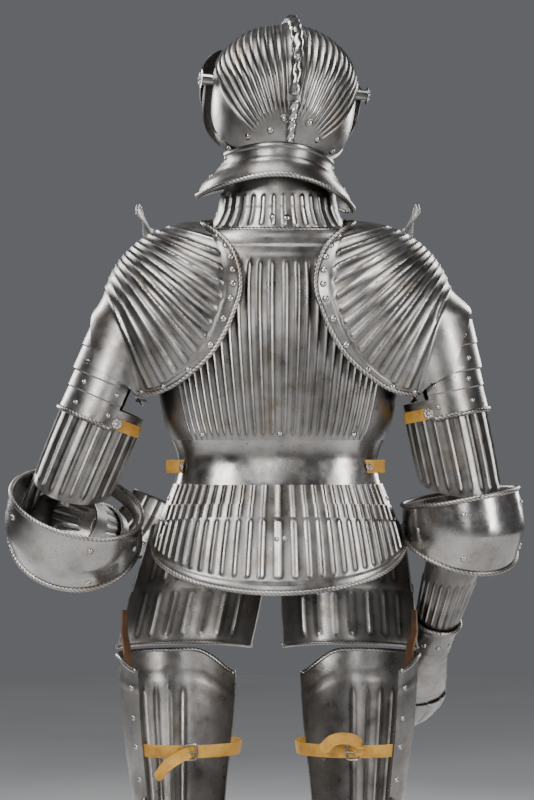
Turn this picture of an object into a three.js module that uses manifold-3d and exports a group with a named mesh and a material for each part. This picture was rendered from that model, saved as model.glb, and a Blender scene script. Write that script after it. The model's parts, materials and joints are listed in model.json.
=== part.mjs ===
// A full suit of fluted plate armour, worn pose, hollow: close helmet, gorget, cuirass, rump and hip lames,
// tassets, arm harness with gauntlets and leg harness. Millimetres, +Z up, the suit faces -Y, its left is +X.
// Everything is laid out from the ground up and then lowered, so that the origin is where the wearer's
// shoulders carry the suit.
import * as THREE from "three";
import { mergeVertices } from "three/addons/utils/BufferGeometryUtils.js";
import Module from "manifold-3d";

// Driving dimensions
const plate = 2;
const leather = 2.5;
const seam = 0.5;
const shoulderHeight = 1450;
const ridge = 2.6;

const legSpread = { left: 148, right: 118 };
const headTurn = { yaw: 8, roll: -5 };
const helmetHeight = 1690;
const helmetShift = -10;

const steel = new THREE.MeshStandardMaterial({ color: 0x9a9793, roughness: 0.32, metalness: 1 });
const polished = new THREE.MeshStandardMaterial({ color: 0xa8a6a3, roughness: 0.22, metalness: 1 });
const buff = new THREE.MeshStandardMaterial({ color: 0xb08a42, roughness: 0.75, metalness: 0 });
const brown = new THREE.MeshStandardMaterial({ color: 0x4a2f1c, roughness: 0.7, metalness: 0 });

const suit = new THREE.Group();
suit.position.z = -shoulderHeight;

// Small helpers
const radians = THREE.MathUtils.degToRad;
const vector = (x, y, z) => new THREE.Vector3(x, y, z);
const mix = (a, b, t) => a + (b - a) * t;
const clamp = (x, low, high) => Math.min(high, Math.max(low, x));
const ease = (low, high, x) => {
  const t = clamp((x - low) / (high - low), 0, 1);
  return t * t * (3 - 2 * t);
};
const spread = (from, to, count) => Array.from({ length: count + 1 }, (_, i) => mix(from, to, i / count));
const power = (x, e) => Math.sign(x) * Math.abs(x) ** e;

// A smooth value read from a table by its height or distance column.
function read(table, by, column, at) {
  const last = table.length - 1;
  const up = table[last][by] > table[0][by] ? 1 : -1;
  let i = 0;
  while (i < last - 1 && (table[i + 1][by] - at) * up < 0) i += 1;
  const slope = (k) => {
    const a = table[Math.max(0, k - 1)];
    const b = table[Math.min(last, k + 1)];
    return (b[column] - a[column]) / (b[by] - a[by]);
  };
  const span = table[i + 1][by] - table[i][by];
  const t = (at - table[i][by]) / span;
  if (t < 0) return table[i][column] + slope(i) * span * t;
  if (t > 1) return table[i + 1][column] + slope(i + 1) * span * (t - 1);
  const t2 = t * t;
  const t3 = t2 * t;
  return (
    (2 * t3 - 3 * t2 + 1) * table[i][column] +
    (t3 - 2 * t2 + t) * span * slope(i) +
    (3 * t2 - 2 * t3) * table[i + 1][column] +
    (t3 - t2) * span * slope(i + 1)
  );
}

// A plate: a wall between a curved face and the same face moved in by its thickness. The face is given over
// across (counterclockwise, seen from the top) and along (upwards), and relief raises its outer side.
function wall(name, material, face, across, along, options = {}) {
  const { thickness = plate, relief = () => 0, closed = false, mirrored = false, parent = suit } = options;
  // A dome's first row is one point, its pole
  const { dome = false } = options;
  const step = 1e-3;
  const outer = [];
  const inner = [];
  for (const v of along) {
    for (const u of across) {
      const point = face(u, v);
      const eastward = face(u + step, v).sub(face(u - step, v));
      const upward = face(u, v + step).sub(face(u, v - step));
      const normal = eastward.cross(upward).normalize();
      outer.push(point.clone().addScaledVector(normal, relief(u, v)));
      inner.push(point.clone().addScaledVector(normal, -thickness));
    }
  }
  const columns = across.length;
  const rows = along.length;
  const points = [...outer, ...inner];
  const triangles = [];
  const quad = (a, b, c, d) => triangles.push([a, b, c], [a, c, d]);
  const out = (i, j) => (dome && j === 0 ? 0 : j * columns + (i % columns));
  const back = (i, j) => rows * columns + out(i, j);
  for (let i = 0; i < columns - (closed ? 0 : 1); i += 1) {
    for (let j = dome ? 1 : 0; j < rows - 1; j += 1) {
      quad(out(i, j), out(i + 1, j), out(i + 1, j + 1), out(i, j + 1));
      quad(back(i + 1, j), back(i, j), back(i, j + 1), back(i + 1, j + 1));
    }
    if (dome) {
      triangles.push([out(0, 0), out(i + 1, 1), out(i, 1)]);
      triangles.push([back(0, 0), back(i, 1), back(i + 1, 1)]);
    } else {
      quad(back(i, 0), back(i + 1, 0), out(i + 1, 0), out(i, 0));
    }
    quad(out(i, rows - 1), out(i + 1, rows - 1), back(i + 1, rows - 1), back(i, rows - 1));
  }
  for (let j = 0; j < rows - 1 && !closed; j += 1) {
    const end = columns - 1;
    quad(out(0, j), out(0, j + 1), back(0, j + 1), back(0, j));
    quad(back(end, j), back(end, j + 1), out(end, j + 1), out(end, j));
  }
  const geometry = new THREE.BufferGeometry();
  const used = dome ? (k) => k === 0 || k === rows * columns || k % (rows * columns) >= columns : () => true;
  const kept = points.map((_, k) => k).filter(used);
  const place = new Map(kept.map((k, n) => [k, n]));
  const flip = mirrored ? -1 : 1;
  geometry.setAttribute(
    "position",
    new THREE.Float32BufferAttribute(kept.flatMap((k) => [points[k].x * flip, points[k].y, points[k].z]), 3),
  );
  const corners = triangles.flatMap(([a, b, c]) => (mirrored ? [a, c, b] : [a, b, c]));
  geometry.setIndex(corners.map((k) => place.get(k)));
  geometry.computeVertexNormals();
  const mesh = new THREE.Mesh(geometry, material);
  mesh.name = name;
  parent.add(mesh);
  return mesh;
}

// Joins a round post to a plate, so that both are one piece.
const wasm = await Module();
wasm.setup();
function solid(geometry, matrix) {
  const moved = mergeVertices(new THREE.BufferGeometry().copy(geometry).deleteAttribute("normal").deleteAttribute("uv"));
  moved.applyMatrix4(matrix);
  return new wasm.Manifold(
    new wasm.Mesh({
      numProp: 3,
      vertProperties: new Float32Array(moved.attributes.position.array),
      triVerts: new Uint32Array(moved.index.array),
    }),
  );
}
function addPost(mesh, from, to, radius) {
  const line = to.clone().sub(from);
  const post = new THREE.CylinderGeometry(radius, radius, line.length(), 12);
  const turn = new THREE.Quaternion().setFromUnitVectors(vector(0, 1, 0), line.clone().normalize());
  const place = new THREE.Matrix4().compose(from.clone().add(to).multiplyScalar(0.5), turn, vector(1, 1, 1));
  const joined = solid(mesh.geometry, new THREE.Matrix4()).add(solid(post, place)).getMesh();
  const geometry = new THREE.BufferGeometry();
  geometry.setAttribute("position", new THREE.Float32BufferAttribute(joined.vertProperties, 3));
  geometry.setIndex(Array.from(joined.triVerts));
  geometry.computeVertexNormals();
  mesh.geometry = geometry;
}

// Columns that give each flute a ridge and a hollow between two edges, with plain columns outside them.
function fluteColumns(count, from, to, plainBefore, plainAfter, start, end) {
  const before = plainBefore ? spread(start, from, plainBefore).slice(0, -1) : [];
  const after = plainAfter ? spread(to, end, plainAfter).slice(1) : [];
  return [...before, ...spread(from, to, count * 2), ...after];
}

// Height of a flute's ridge at a place across: 0 in the hollows and 1 on the ridges.
function fluteWave(u, count, from, to) {
  if (u <= from || u >= to) return 0;
  const t = ((u - from) / (to - from)) * count;
  return 1 - Math.abs((t % 1) * 2 - 1);
}

// Torso: half ellipses front and back, read by height.
const torsoSections = [
  { z: 930, wide: 204, back: 132, front: 150 },
  { z: 990, wide: 190, back: 122, front: 142 },
  { z: 1040, wide: 175, back: 108, front: 132 },
  { z: 1080, wide: 161, back: 97, front: 122 },
  { z: 1115, wide: 157, back: 92, front: 121 },
  { z: 1170, wide: 178, back: 101, front: 158 },
  { z: 1230, wide: 187, back: 110, front: 178 },
  { z: 1320, wide: 187, back: 117, front: 174 },
  { z: 1400, wide: 176, back: 110, front: 144 },
  { z: 1455, wide: 146, back: 94, front: 94 },
  { z: 1490, wide: 102, back: 84, front: 76 },
];
const torsoSquare = 0.88;

function torsoPoint(degrees, z, out = 0) {
  const a = radians(degrees);
  const deep = read(torsoSections, "z", Math.sin(a) >= 0 ? "back" : "front", z) + out;
  return vector(
    (read(torsoSections, "z", "wide", z) + out) * power(Math.cos(a), torsoSquare),
    deep * power(Math.sin(a), torsoSquare),
    z,
  );
}

// Neck: a collar-shaped body above the torso, read by height.
const gorgetSections = [
  { z: 1446, wide: 134, back: 94.2, front: 85 },
  { z: 1468, wide: 109.5, back: 88, front: 77 },
  { z: 1500, wide: 93, back: 82, front: 70 },
  { z: 1560, wide: 84.4, back: 76, front: 66 },
];
function gorgetPoint(degrees, z, out = 0) {
  const a = radians(degrees);
  const deep = read(gorgetSections, "z", Math.sin(a) >= 0 ? "back" : "front", z) + out;
  return vector((read(gorgetSections, "z", "wide", z) + out) * Math.cos(a), deep * Math.sin(a), z);
}

// Moves a point of an outer plate off the body of the cuirass and the gorget, with a soft start.
const reach = (x, y, wide, deep, e) => (Math.abs(x / wide) ** (2 / e) + Math.abs(y / deep) ** (2 / e)) ** (e / 2);
const softMax = (a, b, k) => (a + b + Math.hypot(a - b, k)) / 2;
function offBody(p, out) {
  const key = p.y >= 0 ? "back" : "front";
  const size = (table, column) => read(table, "z", column, p.z) + out;
  let grow = 1;
  if (p.z < 1480) {
    const f = reach(p.x, p.y, size(torsoSections, "wide"), size(torsoSections, key), torsoSquare);
    grow = Math.max(grow, softMax(f, 1, 0.02) / f);
  }
  if (p.z > 1450) {
    const f = reach(p.x, p.y, size(gorgetSections, "wide"), size(gorgetSections, key), 1);
    grow = Math.max(grow, softMax(f, 1, 0.02) / f);
  }
  return vector(p.x * grow, p.y * grow, p.z);
}

// Backplate: flutes fan out from the waist, the armholes cut the sides, and the top is a plain band.
const backFlutes = 26;
const backRange = { waist: 51, top: 64, edge: 86 };
const backHeight = { waist: 1140, band: 1424, top: 1462, armpit: 1316 };

function backAngle(u, z) {
  const half = mix(backRange.waist, backRange.top, ease(backHeight.waist, backHeight.band, z));
  const q = Math.abs(u);
  const away = q <= 1 ? q * half : mix(half, backRange.edge, (q - 1) / 0.25);
  return 90 + Math.sign(u) * away;
}
function backTop(u) {
  return mix(backHeight.top, backHeight.armpit, ease(0.62, 1.2, Math.abs(u)));
}
const backFace = (u, v) => {
  const z = mix(backHeight.waist, backTop(u), v);
  return torsoPoint(backAngle(u, z), z);
};
wall("backplate", steel, backFace, fluteColumns(backFlutes, -1, 1, 4, 4, -1.25, 1.25), [0, 0.06, 0.5, 0.88, 1], {
  relief: (u, v) => ridge * fluteWave(u, backFlutes, -1, 1) * ease(0, 0.05, v) * (1 - ease(0.8, 0.88, v)),
});

// Breastplate: a round, fluted front with a plain upper band, its flange at the waist in the same piece.
const breastFlutes = 9;
const breastHeight = { waist: 1068, top: 1440, armpit: 1318, band: 1395 };
const breastEdge = 86;
const breastTop = (u) => mix(breastHeight.top, breastHeight.armpit, ease(0.5, 1, Math.abs(u)));
const breastFace = (u, v) => {
  const z = mix(breastHeight.waist, breastTop(u), v);
  return torsoPoint(270 + u * breastEdge, z);
};
wall("breastplate", steel, breastFace, fluteColumns(breastFlutes, -0.66, 0.66, 4, 4, -1, 1), [0, 0.14, 0.28, 0.6, 0.9, 1], {
  relief: (u, v) => ridge * fluteWave(u, breastFlutes, -0.66, 0.66) * ease(0.13, 0.27, v) * (1 - ease(0.8, 0.9, v)),
});

// Plain waist plate behind, lapped under the backplate and flared over the hips.
const waistOut = -(plate + 1.1);
const waistEdge = 86;
const waistFace = (u, v) => torsoPoint(90 + u * waistEdge, mix(1062, 1152, v), waistOut);
wall("waist_plate", polished, waistFace, spread(-1, 1, 24), spread(0, 1, 3));

// Rump lames: three fluted plates, each lapped over the one above, the last with a deep round edge.
const rumpFlutes = 27;
const rumpLames = [
  { name: "rump_lame_1", top: 1072, bottom: 1032, drop: 6, rise: 0, out: 0.4, rows: [0, 1] },
  { name: "rump_lame_2", top: 1044, bottom: 1010, drop: 12, rise: 6, out: 3.2, rows: [0, 1] },
  { name: "rump_lame_3", top: 1024, bottom: 908, drop: -76, rise: 10, out: 5.9, rows: [0, 0.18, 0.6, 1] },
];
for (const lame of rumpLames) {
  const face = (u, v) => {
    const side = Math.abs(u) ** 1.7;
    const low = lame.bottom - lame.drop * side;
    const high = lame.top - lame.rise * side;
    const z = mix(low, high, v);
    return torsoPoint(90 + u * 84, z, lame.out);
  };
  const rim = lame.rows.length > 2 ? 0.19 : 0;
  const columns = rim ? fluteColumns(rumpFlutes, -0.86, 0.86, 2, 2, -1, 1) : spread(-1, 1, 32);
  wall(lame.name, steel, face, columns, lame.rows, {
    relief: (u, v) => (rim ? ridge : 0) * fluteWave(u, rumpFlutes, -0.86, 0.86) * ease(rim, rim + 0.05, v) * (1 - ease(0.95, 1, v)),
  });
}

// Hip lames in front, under the breastplate's flange.
const hipLames = [
  { name: "hip_lame_1", top: 1084, bottom: 1030, out: -3.2 },
  { name: "hip_lame_2", top: 1042, bottom: 985, out: -0.4 },
];
for (const lame of hipLames) {
  const face = (u, v) => torsoPoint(270 + u * 83, mix(lame.bottom, lame.top, v), lame.out);
  wall(lame.name, steel, face, spread(-1, 1, 20), [0, 1]);
}

// Tassets: two broad lames over each thigh, hung on the lowest hip lame.
const tassetLames = [
  { name: "tasset_upper", top: 1006, bottom: 900, out: 3 },
  { name: "tasset_lower", top: 912, bottom: 812, out: 5.7 },
];
const tassetSections = [
  { z: 800, middle: 146, wide: 108, deep: 128 },
  { z: 900, middle: 124, wide: 106, deep: 136 },
  { z: 1010, middle: 104, wide: 93, deep: 134 },
];
for (const mirrored of [false, true]) {
  const side = mirrored ? "right" : "left";
  const shift = mirrored ? -34 : 0;
  for (const lame of tassetLames) {
    const face = (u, v) => {
      const z = mix(lame.bottom, lame.top, v);
      const a = radians(mix(-154, -14, u));
      const t = (1006 - z) / 200;
      const free = vector(
        read(tassetSections, "z", "middle", z) + shift * t + (read(tassetSections, "z", "wide", z) + lame.out) * Math.cos(a),
        -14 + (read(tassetSections, "z", "deep", z) + lame.out) * Math.sin(a),
        z,
      );
      return z > 970 ? offBody(free, plate + 2.4) : free;
    };
    wall(`${lame.name}_${side}`, steel, face, spread(0, 1, 14), spread(0, 1, 2), { mirrored });
  }
}

// Gorget: a fluted collar and a cape in two halves over the shoulders, under the cuirass's edges.
const gorgetFlutes = { back: 14, front: 4 };
const collarFace = (u, v) => gorgetPoint(u, mix(1516, 1568, v), -3.1);
wall("gorget_collar", steel, collarFace, spread(0, 360, 24).slice(0, -1), [0, 1], { closed: true });
for (const half of ["back", "front"]) {
  const middle = half === "back" ? 90 : 270;
  const count = gorgetFlutes[half];
  const face = (u, v) => gorgetPoint(middle + u * 89.4, mix(1462, 1524, v));
  wall(`gorget_${half}`, steel, face, fluteColumns(count, -0.75, 0.75, 3, 3, -1, 1), [0, 0.1, 0.7, 1], {
    relief: (u, v) => ridge * fluteWave(u, count, -0.75, 0.75) * ease(0, 0.1, v) * (1 - ease(0.7, 1, v)),
  });
}

// Shoulder straps of the cuirass, from the backplate's top over the gorget to the breastplate's top.
const strapX = 117;
for (const mirrored of [false, true]) {
  const route = [
    { s: 0, y: 64.6, z: 1410 },
    { s: 0.2, y: 56.6, z: 1444 },
    { s: 0.5, y: -4, z: 1477.2 },
    { s: 0.8, y: -60.4, z: 1444 },
    { s: 1, y: -90.6, z: 1398 },
  ];
  const face = (u, v) => vector(strapX + v * 20, read(route, "s", "y", u), read(route, "s", "z", u) - v * 8);
  const turned = (u, v) => face(1 - u, v);
  wall(`shoulder_strap_${mirrored ? "right" : "left"}`, brown, turned, spread(0, 1, 12), [0, 1], { thickness: leather, mirrored });
}

// Helmet: everything hangs in one turned group about the middle of the visor's pivots.
const helmet = new THREE.Group();
helmet.position.set(helmetShift, 0, helmetHeight);
helmet.rotation.set(0, radians(headTurn.roll), radians(headTurn.yaw), "ZYX");
suit.add(helmet);

// The skull is an egg whose flutes run as meridians from a pole low at the nape, over the crown, to the brow.
const skullSize = { wide: 113, deep: 118, high: 96, low: 140, fullness: 2.7 };
const skullPole = -24;
const skullFlutes = 9;
const comb = { wide: 6, high: 11 };
const browCut = -30;
const napeCut = -104;
const neckArch = 16;
function skullRay(around, down) {
  const a = radians(around);
  const b = radians(down);
  const tilt = radians(skullPole);
  const x = Math.sin(b) * Math.sin(a);
  const y = Math.cos(b);
  const z = Math.sin(b) * Math.cos(a);
  return vector(x, y * Math.cos(tilt) - z * Math.sin(tilt), y * Math.sin(tilt) + z * Math.cos(tilt));
}
function skullPoint(around, down, out = 0) {
  const ray = skullRay(around, down);
  const tall = ray.z >= 0 ? skullSize.high : skullSize.low;
  if (ray.z < 0) {
    const flat = Math.hypot(ray.x, ray.y);
    ray.divideScalar((flat ** skullSize.fullness + (-ray.z) ** skullSize.fullness) ** (1 / skullSize.fullness));
  }
  return vector(ray.x * (skullSize.wide + out), ray.y * (skullSize.deep + out), ray.z * (tall + out));
}
// How far a meridian runs: to the face opening in front, or to the neck opening below.
function skullEnd(around) {
  let low = 5;
  let high = 170;
  for (let k = 0; k < 24; k += 1) {
    const middle = (low + high) / 2;
    const p = skullPoint(around, middle);
    const arched = napeCut - neckArch * (1 - (p.y / Math.hypot(p.x, p.y)) ** 2);
    const inside = p.z > arched && (p.y > browCut || p.z > 46 - (p.y - browCut) * -0.62);
    if (inside) low = middle;
    else high = middle;
  }
  return low;
}
const skullColumns = [
  ...spread(-180, -80, 6).slice(0, -1),
  ...spread(-80, -8, skullFlutes * 2),
  -4,
  0,
  4,
  ...spread(8, 80, skullFlutes * 2),
  ...spread(80, 180, 6).slice(1, -1),
];
const skullStart = 0.4;
const skullFace = (u, v) => skullPoint(u, mix(skullStart, skullEnd(u), v));
const skullRelief = (u, v) => {
  const q = Math.abs(u);
  if (q < 6) return comb.high * ease(0.16, 0.3, v) * (1 - ease(0.8, 1, v)) * (q < 2 ? 1 : 0.8);
  const down = mix(skullStart, skullEnd(u), v);
  return ridge * fluteWave(q, skullFlutes, 8, 80) * ease(26, 36, down) * (1 - ease(0.88, 0.97, v));
};
// Anticlockwise about the pole, which looks back: the columns are turned round so that the wall faces out.
wall("skull", steel, (u, v) => skullFace(-u, v), skullColumns.map((u) => -u).reverse(), [0, 0.18, 0.32, 0.58, 0.85, 1], {
  closed: true,
  dome: true,
  relief: (u, v) => skullRelief(-u, v),
  parent: helmet,
});

// Plume tube on the nape.
const tubeRadius = 6.5;
const tubeLength = 62;
const tubeTop = { y: 117, z: -32 };
const tubeEnd = { y: 103, z: -90 };
const tubeLean = Math.atan2(tubeTop.y - tubeEnd.y, tubeTop.z - tubeEnd.z);
const tubeOff = tubeRadius + 3.2;
const tubeMesh = new THREE.Mesh(new THREE.CylinderGeometry(tubeRadius, tubeRadius * 0.85, tubeLength, 12), steel);
tubeMesh.name = "plume_tube";
tubeMesh.rotation.x = Math.PI / 2 - tubeLean;
tubeMesh.position.set(
  0,
  (tubeTop.y + tubeEnd.y) / 2 + tubeOff * Math.cos(tubeLean),
  (tubeTop.z + tubeEnd.z) / 2 - tubeOff * Math.sin(tubeLean),
);
helmet.add(tubeMesh);

// Visor and chin piece: shells that turn about the pivots' axis, so their distance from it is all that counts.
const visorProfile = [
  { s: 0, x: 0, r: 146 },
  { s: 0.28, x: 44, r: 140 },
  { s: 0.52, x: 80, r: 127 },
  { s: 0.68, x: 104, r: 106 },
  { s: 0.8, x: 117, r: 78 },
  { s: 0.92, x: 122, r: 42 },
  { s: 1, x: 123.5, r: 9.8 },
];
function turnedPoint(u, degrees, out) {
  const s = Math.abs(u);
  const x = read(visorProfile, "s", "x", s) + out * s ** 2;
  const r = read(visorProfile, "s", "r", s) + out * (1 - s ** 3);
  const a = radians(degrees);
  return vector(x * Math.sign(u), -r * Math.cos(a), r * Math.sin(a));
}
// Angles are above the horizon in front of the pivots.
const across = [-1, -0.92, -0.8, -0.68, -0.52, -0.36, -0.18, 0, 0.18, 0.36, 0.52, 0.68, 0.8, 0.92, 1];
const visorSpan = { low: -24, high: 29 };
const bellows = 3;
const visorFace = (u, v) => {
  const span = (visorSpan.high - visorSpan.low) * (1 - 0.35 * ease(0.6, 1, Math.abs(u)));
  const middle = (visorSpan.low + visorSpan.high) / 2;
  return turnedPoint(u, middle + (v - 0.5) * span, 7);
};
wall("visor", steel, visorFace, across, spread(0, 1, bellows * 2), {
  relief: (u, v) => 5 * fluteWave(v, bellows, 0, 0.9999) * (1 - ease(0.45, 0.68, Math.abs(u))),
  parent: helmet,
});
const chinSpan = { low: -48, high: -8 };
const chinFace = (u, v) => {
  const side = ease(0.72, 1, Math.abs(u));
  const a = mix(mix(chinSpan.low, chinSpan.high, v), mix(-66, 16, v), side);
  return turnedPoint(u, a, 0);
};
wall("chin_piece", steel, chinFace, across, spread(0, 1, 4), { parent: helmet });

// Round pivots that carry the chin piece and the visor on the skull.
const pivot = { radius: 9, from: 112.7, to: 134 };
for (const sign of [1, -1]) {
  const length = pivot.to - pivot.from;
  const stud = new THREE.Mesh(new THREE.CylinderGeometry(pivot.radius, pivot.radius, length, 16), polished);
  stud.name = sign > 0 ? "visor_pivot_left" : "visor_pivot_right";
  stud.rotation.z = Math.PI / 2;
  stud.position.x = sign * (pivot.from + length / 2);
  helmet.add(stud);
}

// Neck lames of the helmet: two behind on the skull, one in front on the chin piece.
const neckSections = [
  { z: -190, wide: 122, deep: 122 },
  { z: -162, wide: 112, deep: 114 },
  { z: -140, wide: 92, deep: 104 },
  { z: -124, wide: 84.5, deep: 101.5 },
  { z: -112, wide: 86.7, deep: 102.7 },
];
function neckPoint(degrees, z, out) {
  const a = radians(degrees);
  const arch = neckArch * Math.sin(a) ** 2;
  return vector(
    (read(neckSections, "z", "wide", z) + out) * Math.cos(a),
    (read(neckSections, "z", "deep", z) + out - (Math.sin(a) < 0 ? 5.5 : 0)) * Math.sin(a),
    z + arch,
  );
}
const neckLames = [
  { name: "nape_lame", low: -134, high: -112, out: 0.25, drop: 0, from: 4, to: 176, rows: [0, 0.5, 1] },
  { name: "nape_rim", low: -162, high: -129, out: 3, drop: 22, from: 4, to: 176, rows: [0, 0.4, 1] },
  { name: "throat_rim", low: -162, high: -122, out: -0.3, drop: 22, from: 186, to: 354, rows: [0, 0.4, 1] },
];
for (const lame of neckLames) {
  const face = (u, v) => {
    const angle = mix(lame.from, lame.to, u);
    const low = lame.low - lame.drop * Math.cos(radians(angle)) ** 2;
    return neckPoint(angle, mix(low, lame.high, v), lame.out);
  };
  wall(lame.name, steel, face, spread(0, 1, 16), lame.rows, { parent: helmet });
}

// Arms: each hangs from its elbow, with the upper arm's and the forearm's own directions.
const arms = {
  left: { elbow: vector(340, 12, 1020), down: vector(0.385, 0, -0.923), fore: vector(-0.26, -0.95, -0.12) },
  right: { elbow: vector(-294, 12, 1020), down: vector(-0.2, 0.02, -0.978), fore: vector(0.21, -0.5, -0.84) },
};
const couterShape = {
  left: { slide: 25, wide: 1.06, tall: 62, rise: 0 },
  right: { slide: 8, wide: 0.88, tall: 64, rise: -4 },
};
const pivotReach = 65.3;
// Sixteen even columns, with two more beside the outer one for the ear's narrow end.
function cannonColumns(outerSign) {
  const outer = outerSign > 0 ? 90 : 270;
  return [...spread(0, 360, 16).slice(0, -1), outer - 12, outer + 12].sort((a, b) => a - b);
}
const lameReach = 76;

// Moves a point of a pauldron off the lames of the upper arm, given in the left arm's sense.
function offArm(p, side) {
  const { elbow, down } = arms[side];
  const sign = side === "left" ? 1 : -1;
  const foot = vector(elbow.x * sign, elbow.y, elbow.z);
  const up = vector(-down.x * sign, -down.y, -down.z).normalize();
  const along = p.clone().sub(foot).dot(up);
  const axis = foot.addScaledVector(up, along);
  const away = p.clone().sub(axis);
  const distance = away.length();
  const wanted = mix(softMax(distance, lameReach, 3), distance, ease(306, 360, along));
  return axis.addScaledVector(away, wanted / distance);
}

// Pauldrons: each is a shell whose flutes run as meridians from a pole at the shoulder's point.
const shoulder = { x: 120, y: 5, z: 1345, wide: 152, deep: 130, high: 136, low: 226 };
const pauldronEdge = [
  { a: -166, down: 40 },
  { a: -140, down: 52 },
  { a: -112, down: 78 },
  { a: -84, down: 98 },
  { a: -50, down: 104 },
  { a: -20, down: 99 },
  { a: 10, down: 99 },
  { a: 30, down: 108 },
  { a: 60, down: 115 },
  { a: 86, down: 114 },
  { a: 106, down: 101 },
  { a: 122, down: 78 },
  { a: 136, down: 56 },
  { a: 150, down: 43 },
  { a: 166, down: 36 },
];
function pauldronPoint(around, down, out = 0) {
  const a = radians(around);
  const b = radians(down);
  const up = Math.cos(a);
  const tall = up >= 0 ? shoulder.high : shoulder.low;
  return vector(
    shoulder.x + (shoulder.wide + out) * Math.cos(b),
    shoulder.y + (shoulder.deep + out) * Math.sin(b) * Math.sin(a),
    shoulder.z + (tall + out) * Math.sin(b) * up,
  );
}
const pauldronFlutes = { back: 11, front: 5 };
const pauldronStart = (u) => 5 + 22 * ease(95, 160, Math.abs(u));
const pauldronClear = plate + ridge + 1;
const pauldronFace = (u, v, side) => {
  const free = pauldronPoint(u, mix(pauldronStart(u), read(pauldronEdge, "a", "down", u), v));
  return offBody(offArm(free, side), pauldronClear);
};
const pauldronColumns = [
  ...spread(-166, -118, 4).slice(0, -1),
  ...spread(-118, -64, pauldronFlutes.front * 2),
  ...spread(-64, 24, 7).slice(1, -1),
  ...spread(24, 132, pauldronFlutes.back * 2),
  ...spread(132, 166, 3).slice(1),
];
const pauldronRelief = (u, v) => {
  const wave = u > 0 ? fluteWave(u, pauldronFlutes.back, 24, 132) : fluteWave(u, pauldronFlutes.front, -118, -64);
  return ridge * 1.2 * wave * ease(0.2, 0.34, v) * (1 - ease(0.88, 0.9, v));
};

// The upright guard on the front of each pauldron: its foot follows the pauldron's face.
const guardFace = (u, v, side) => {
  const around = mix(-4, -56, u);
  const along = 0.6;
  const foot = pauldronFace(around, along, side);
  const east = pauldronFace(around - 0.5, along, side).sub(pauldronFace(around + 0.5, along, side));
  const north = pauldronFace(around, along + 0.005, side).sub(pauldronFace(around, along - 0.005, side));
  const normal = north.cross(east).normalize();
  if (normal.z < 0) normal.negate();
  const tall = 54 * Math.sin(Math.PI * clamp(0.14 + 0.76 * u, 0, 1)) ** 0.7;
  return foot.addScaledVector(normal, 0.9).add(vector(26 * v, 0, tall * v));
};

for (const mirrored of [false, true]) {
  const side = mirrored ? "right" : "left";
  const shoulderSide = (u, v) => pauldronFace(u, v, side);
  wall(`pauldron_${side}`, steel, shoulderSide, pauldronColumns, [0, 0.18, 0.4, 0.6, 0.89, 1], {
    relief: pauldronRelief,
    mirrored,
  });
  wall(`neck_guard_${side}`, steel, (u, v) => guardFace(u, v, side), spread(0, 1, 8), [0, 1], { mirrored });
}

// Three directions at right angles: towards the bend, towards the pivot, and along.
function basis(along, bend) {
  const w = along.clone().normalize();
  const a = bend.clone().addScaledVector(w, -bend.dot(w)).normalize();
  const b = w.clone().cross(a);
  return { a, b, w };
}
function tubeFace(origin, axes, table, angleAt, distanceAt, out = 0) {
  return (u, v) => {
    const angle = radians(angleAt(u, v));
    const d = distanceAt(u, v);
    return origin
      .clone()
      .addScaledVector(axes.w, d)
      .addScaledVector(axes.a, (read(table, "d", "bend", d) + out) * Math.cos(angle) + read(table, "d", "shift", d))
      .addScaledVector(axes.b, (read(table, "d", "wide", d) + out) * Math.sin(angle));
  };
}
const upperSections = [
  { d: 0, bend: 60, wide: 58, shift: 0 },
  { d: 90, bend: 63, wide: 61, shift: 0 },
  { d: 190, bend: 62, wide: 62, shift: 0 },
  { d: 330, bend: 64, wide: 64, shift: 0 },
];
const lowerSections = [
  { d: -262, bend: 29, wide: 29, shift: 0 },
  { d: -215, bend: 31.9, wide: 31.9, shift: 0 },
  { d: -150, bend: 38, wide: 38, shift: 0 },
  { d: -60, bend: 45, wide: 45, shift: 0 },
  { d: 0, bend: 46, wide: 46, shift: 0 },
];
const couterSections = [
  { d: -66, bend: 88, wide: 94, shift: 6 },
  { d: -36, bend: 94, wide: 99, shift: 4 },
  { d: 0, bend: 98, wide: 102, shift: 2 },
  { d: 36, bend: 94, wide: 99, shift: 4 },
  { d: 66, bend: 88, wide: 94, shift: 6 },
];
const cannonFlutes = 12;

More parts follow.
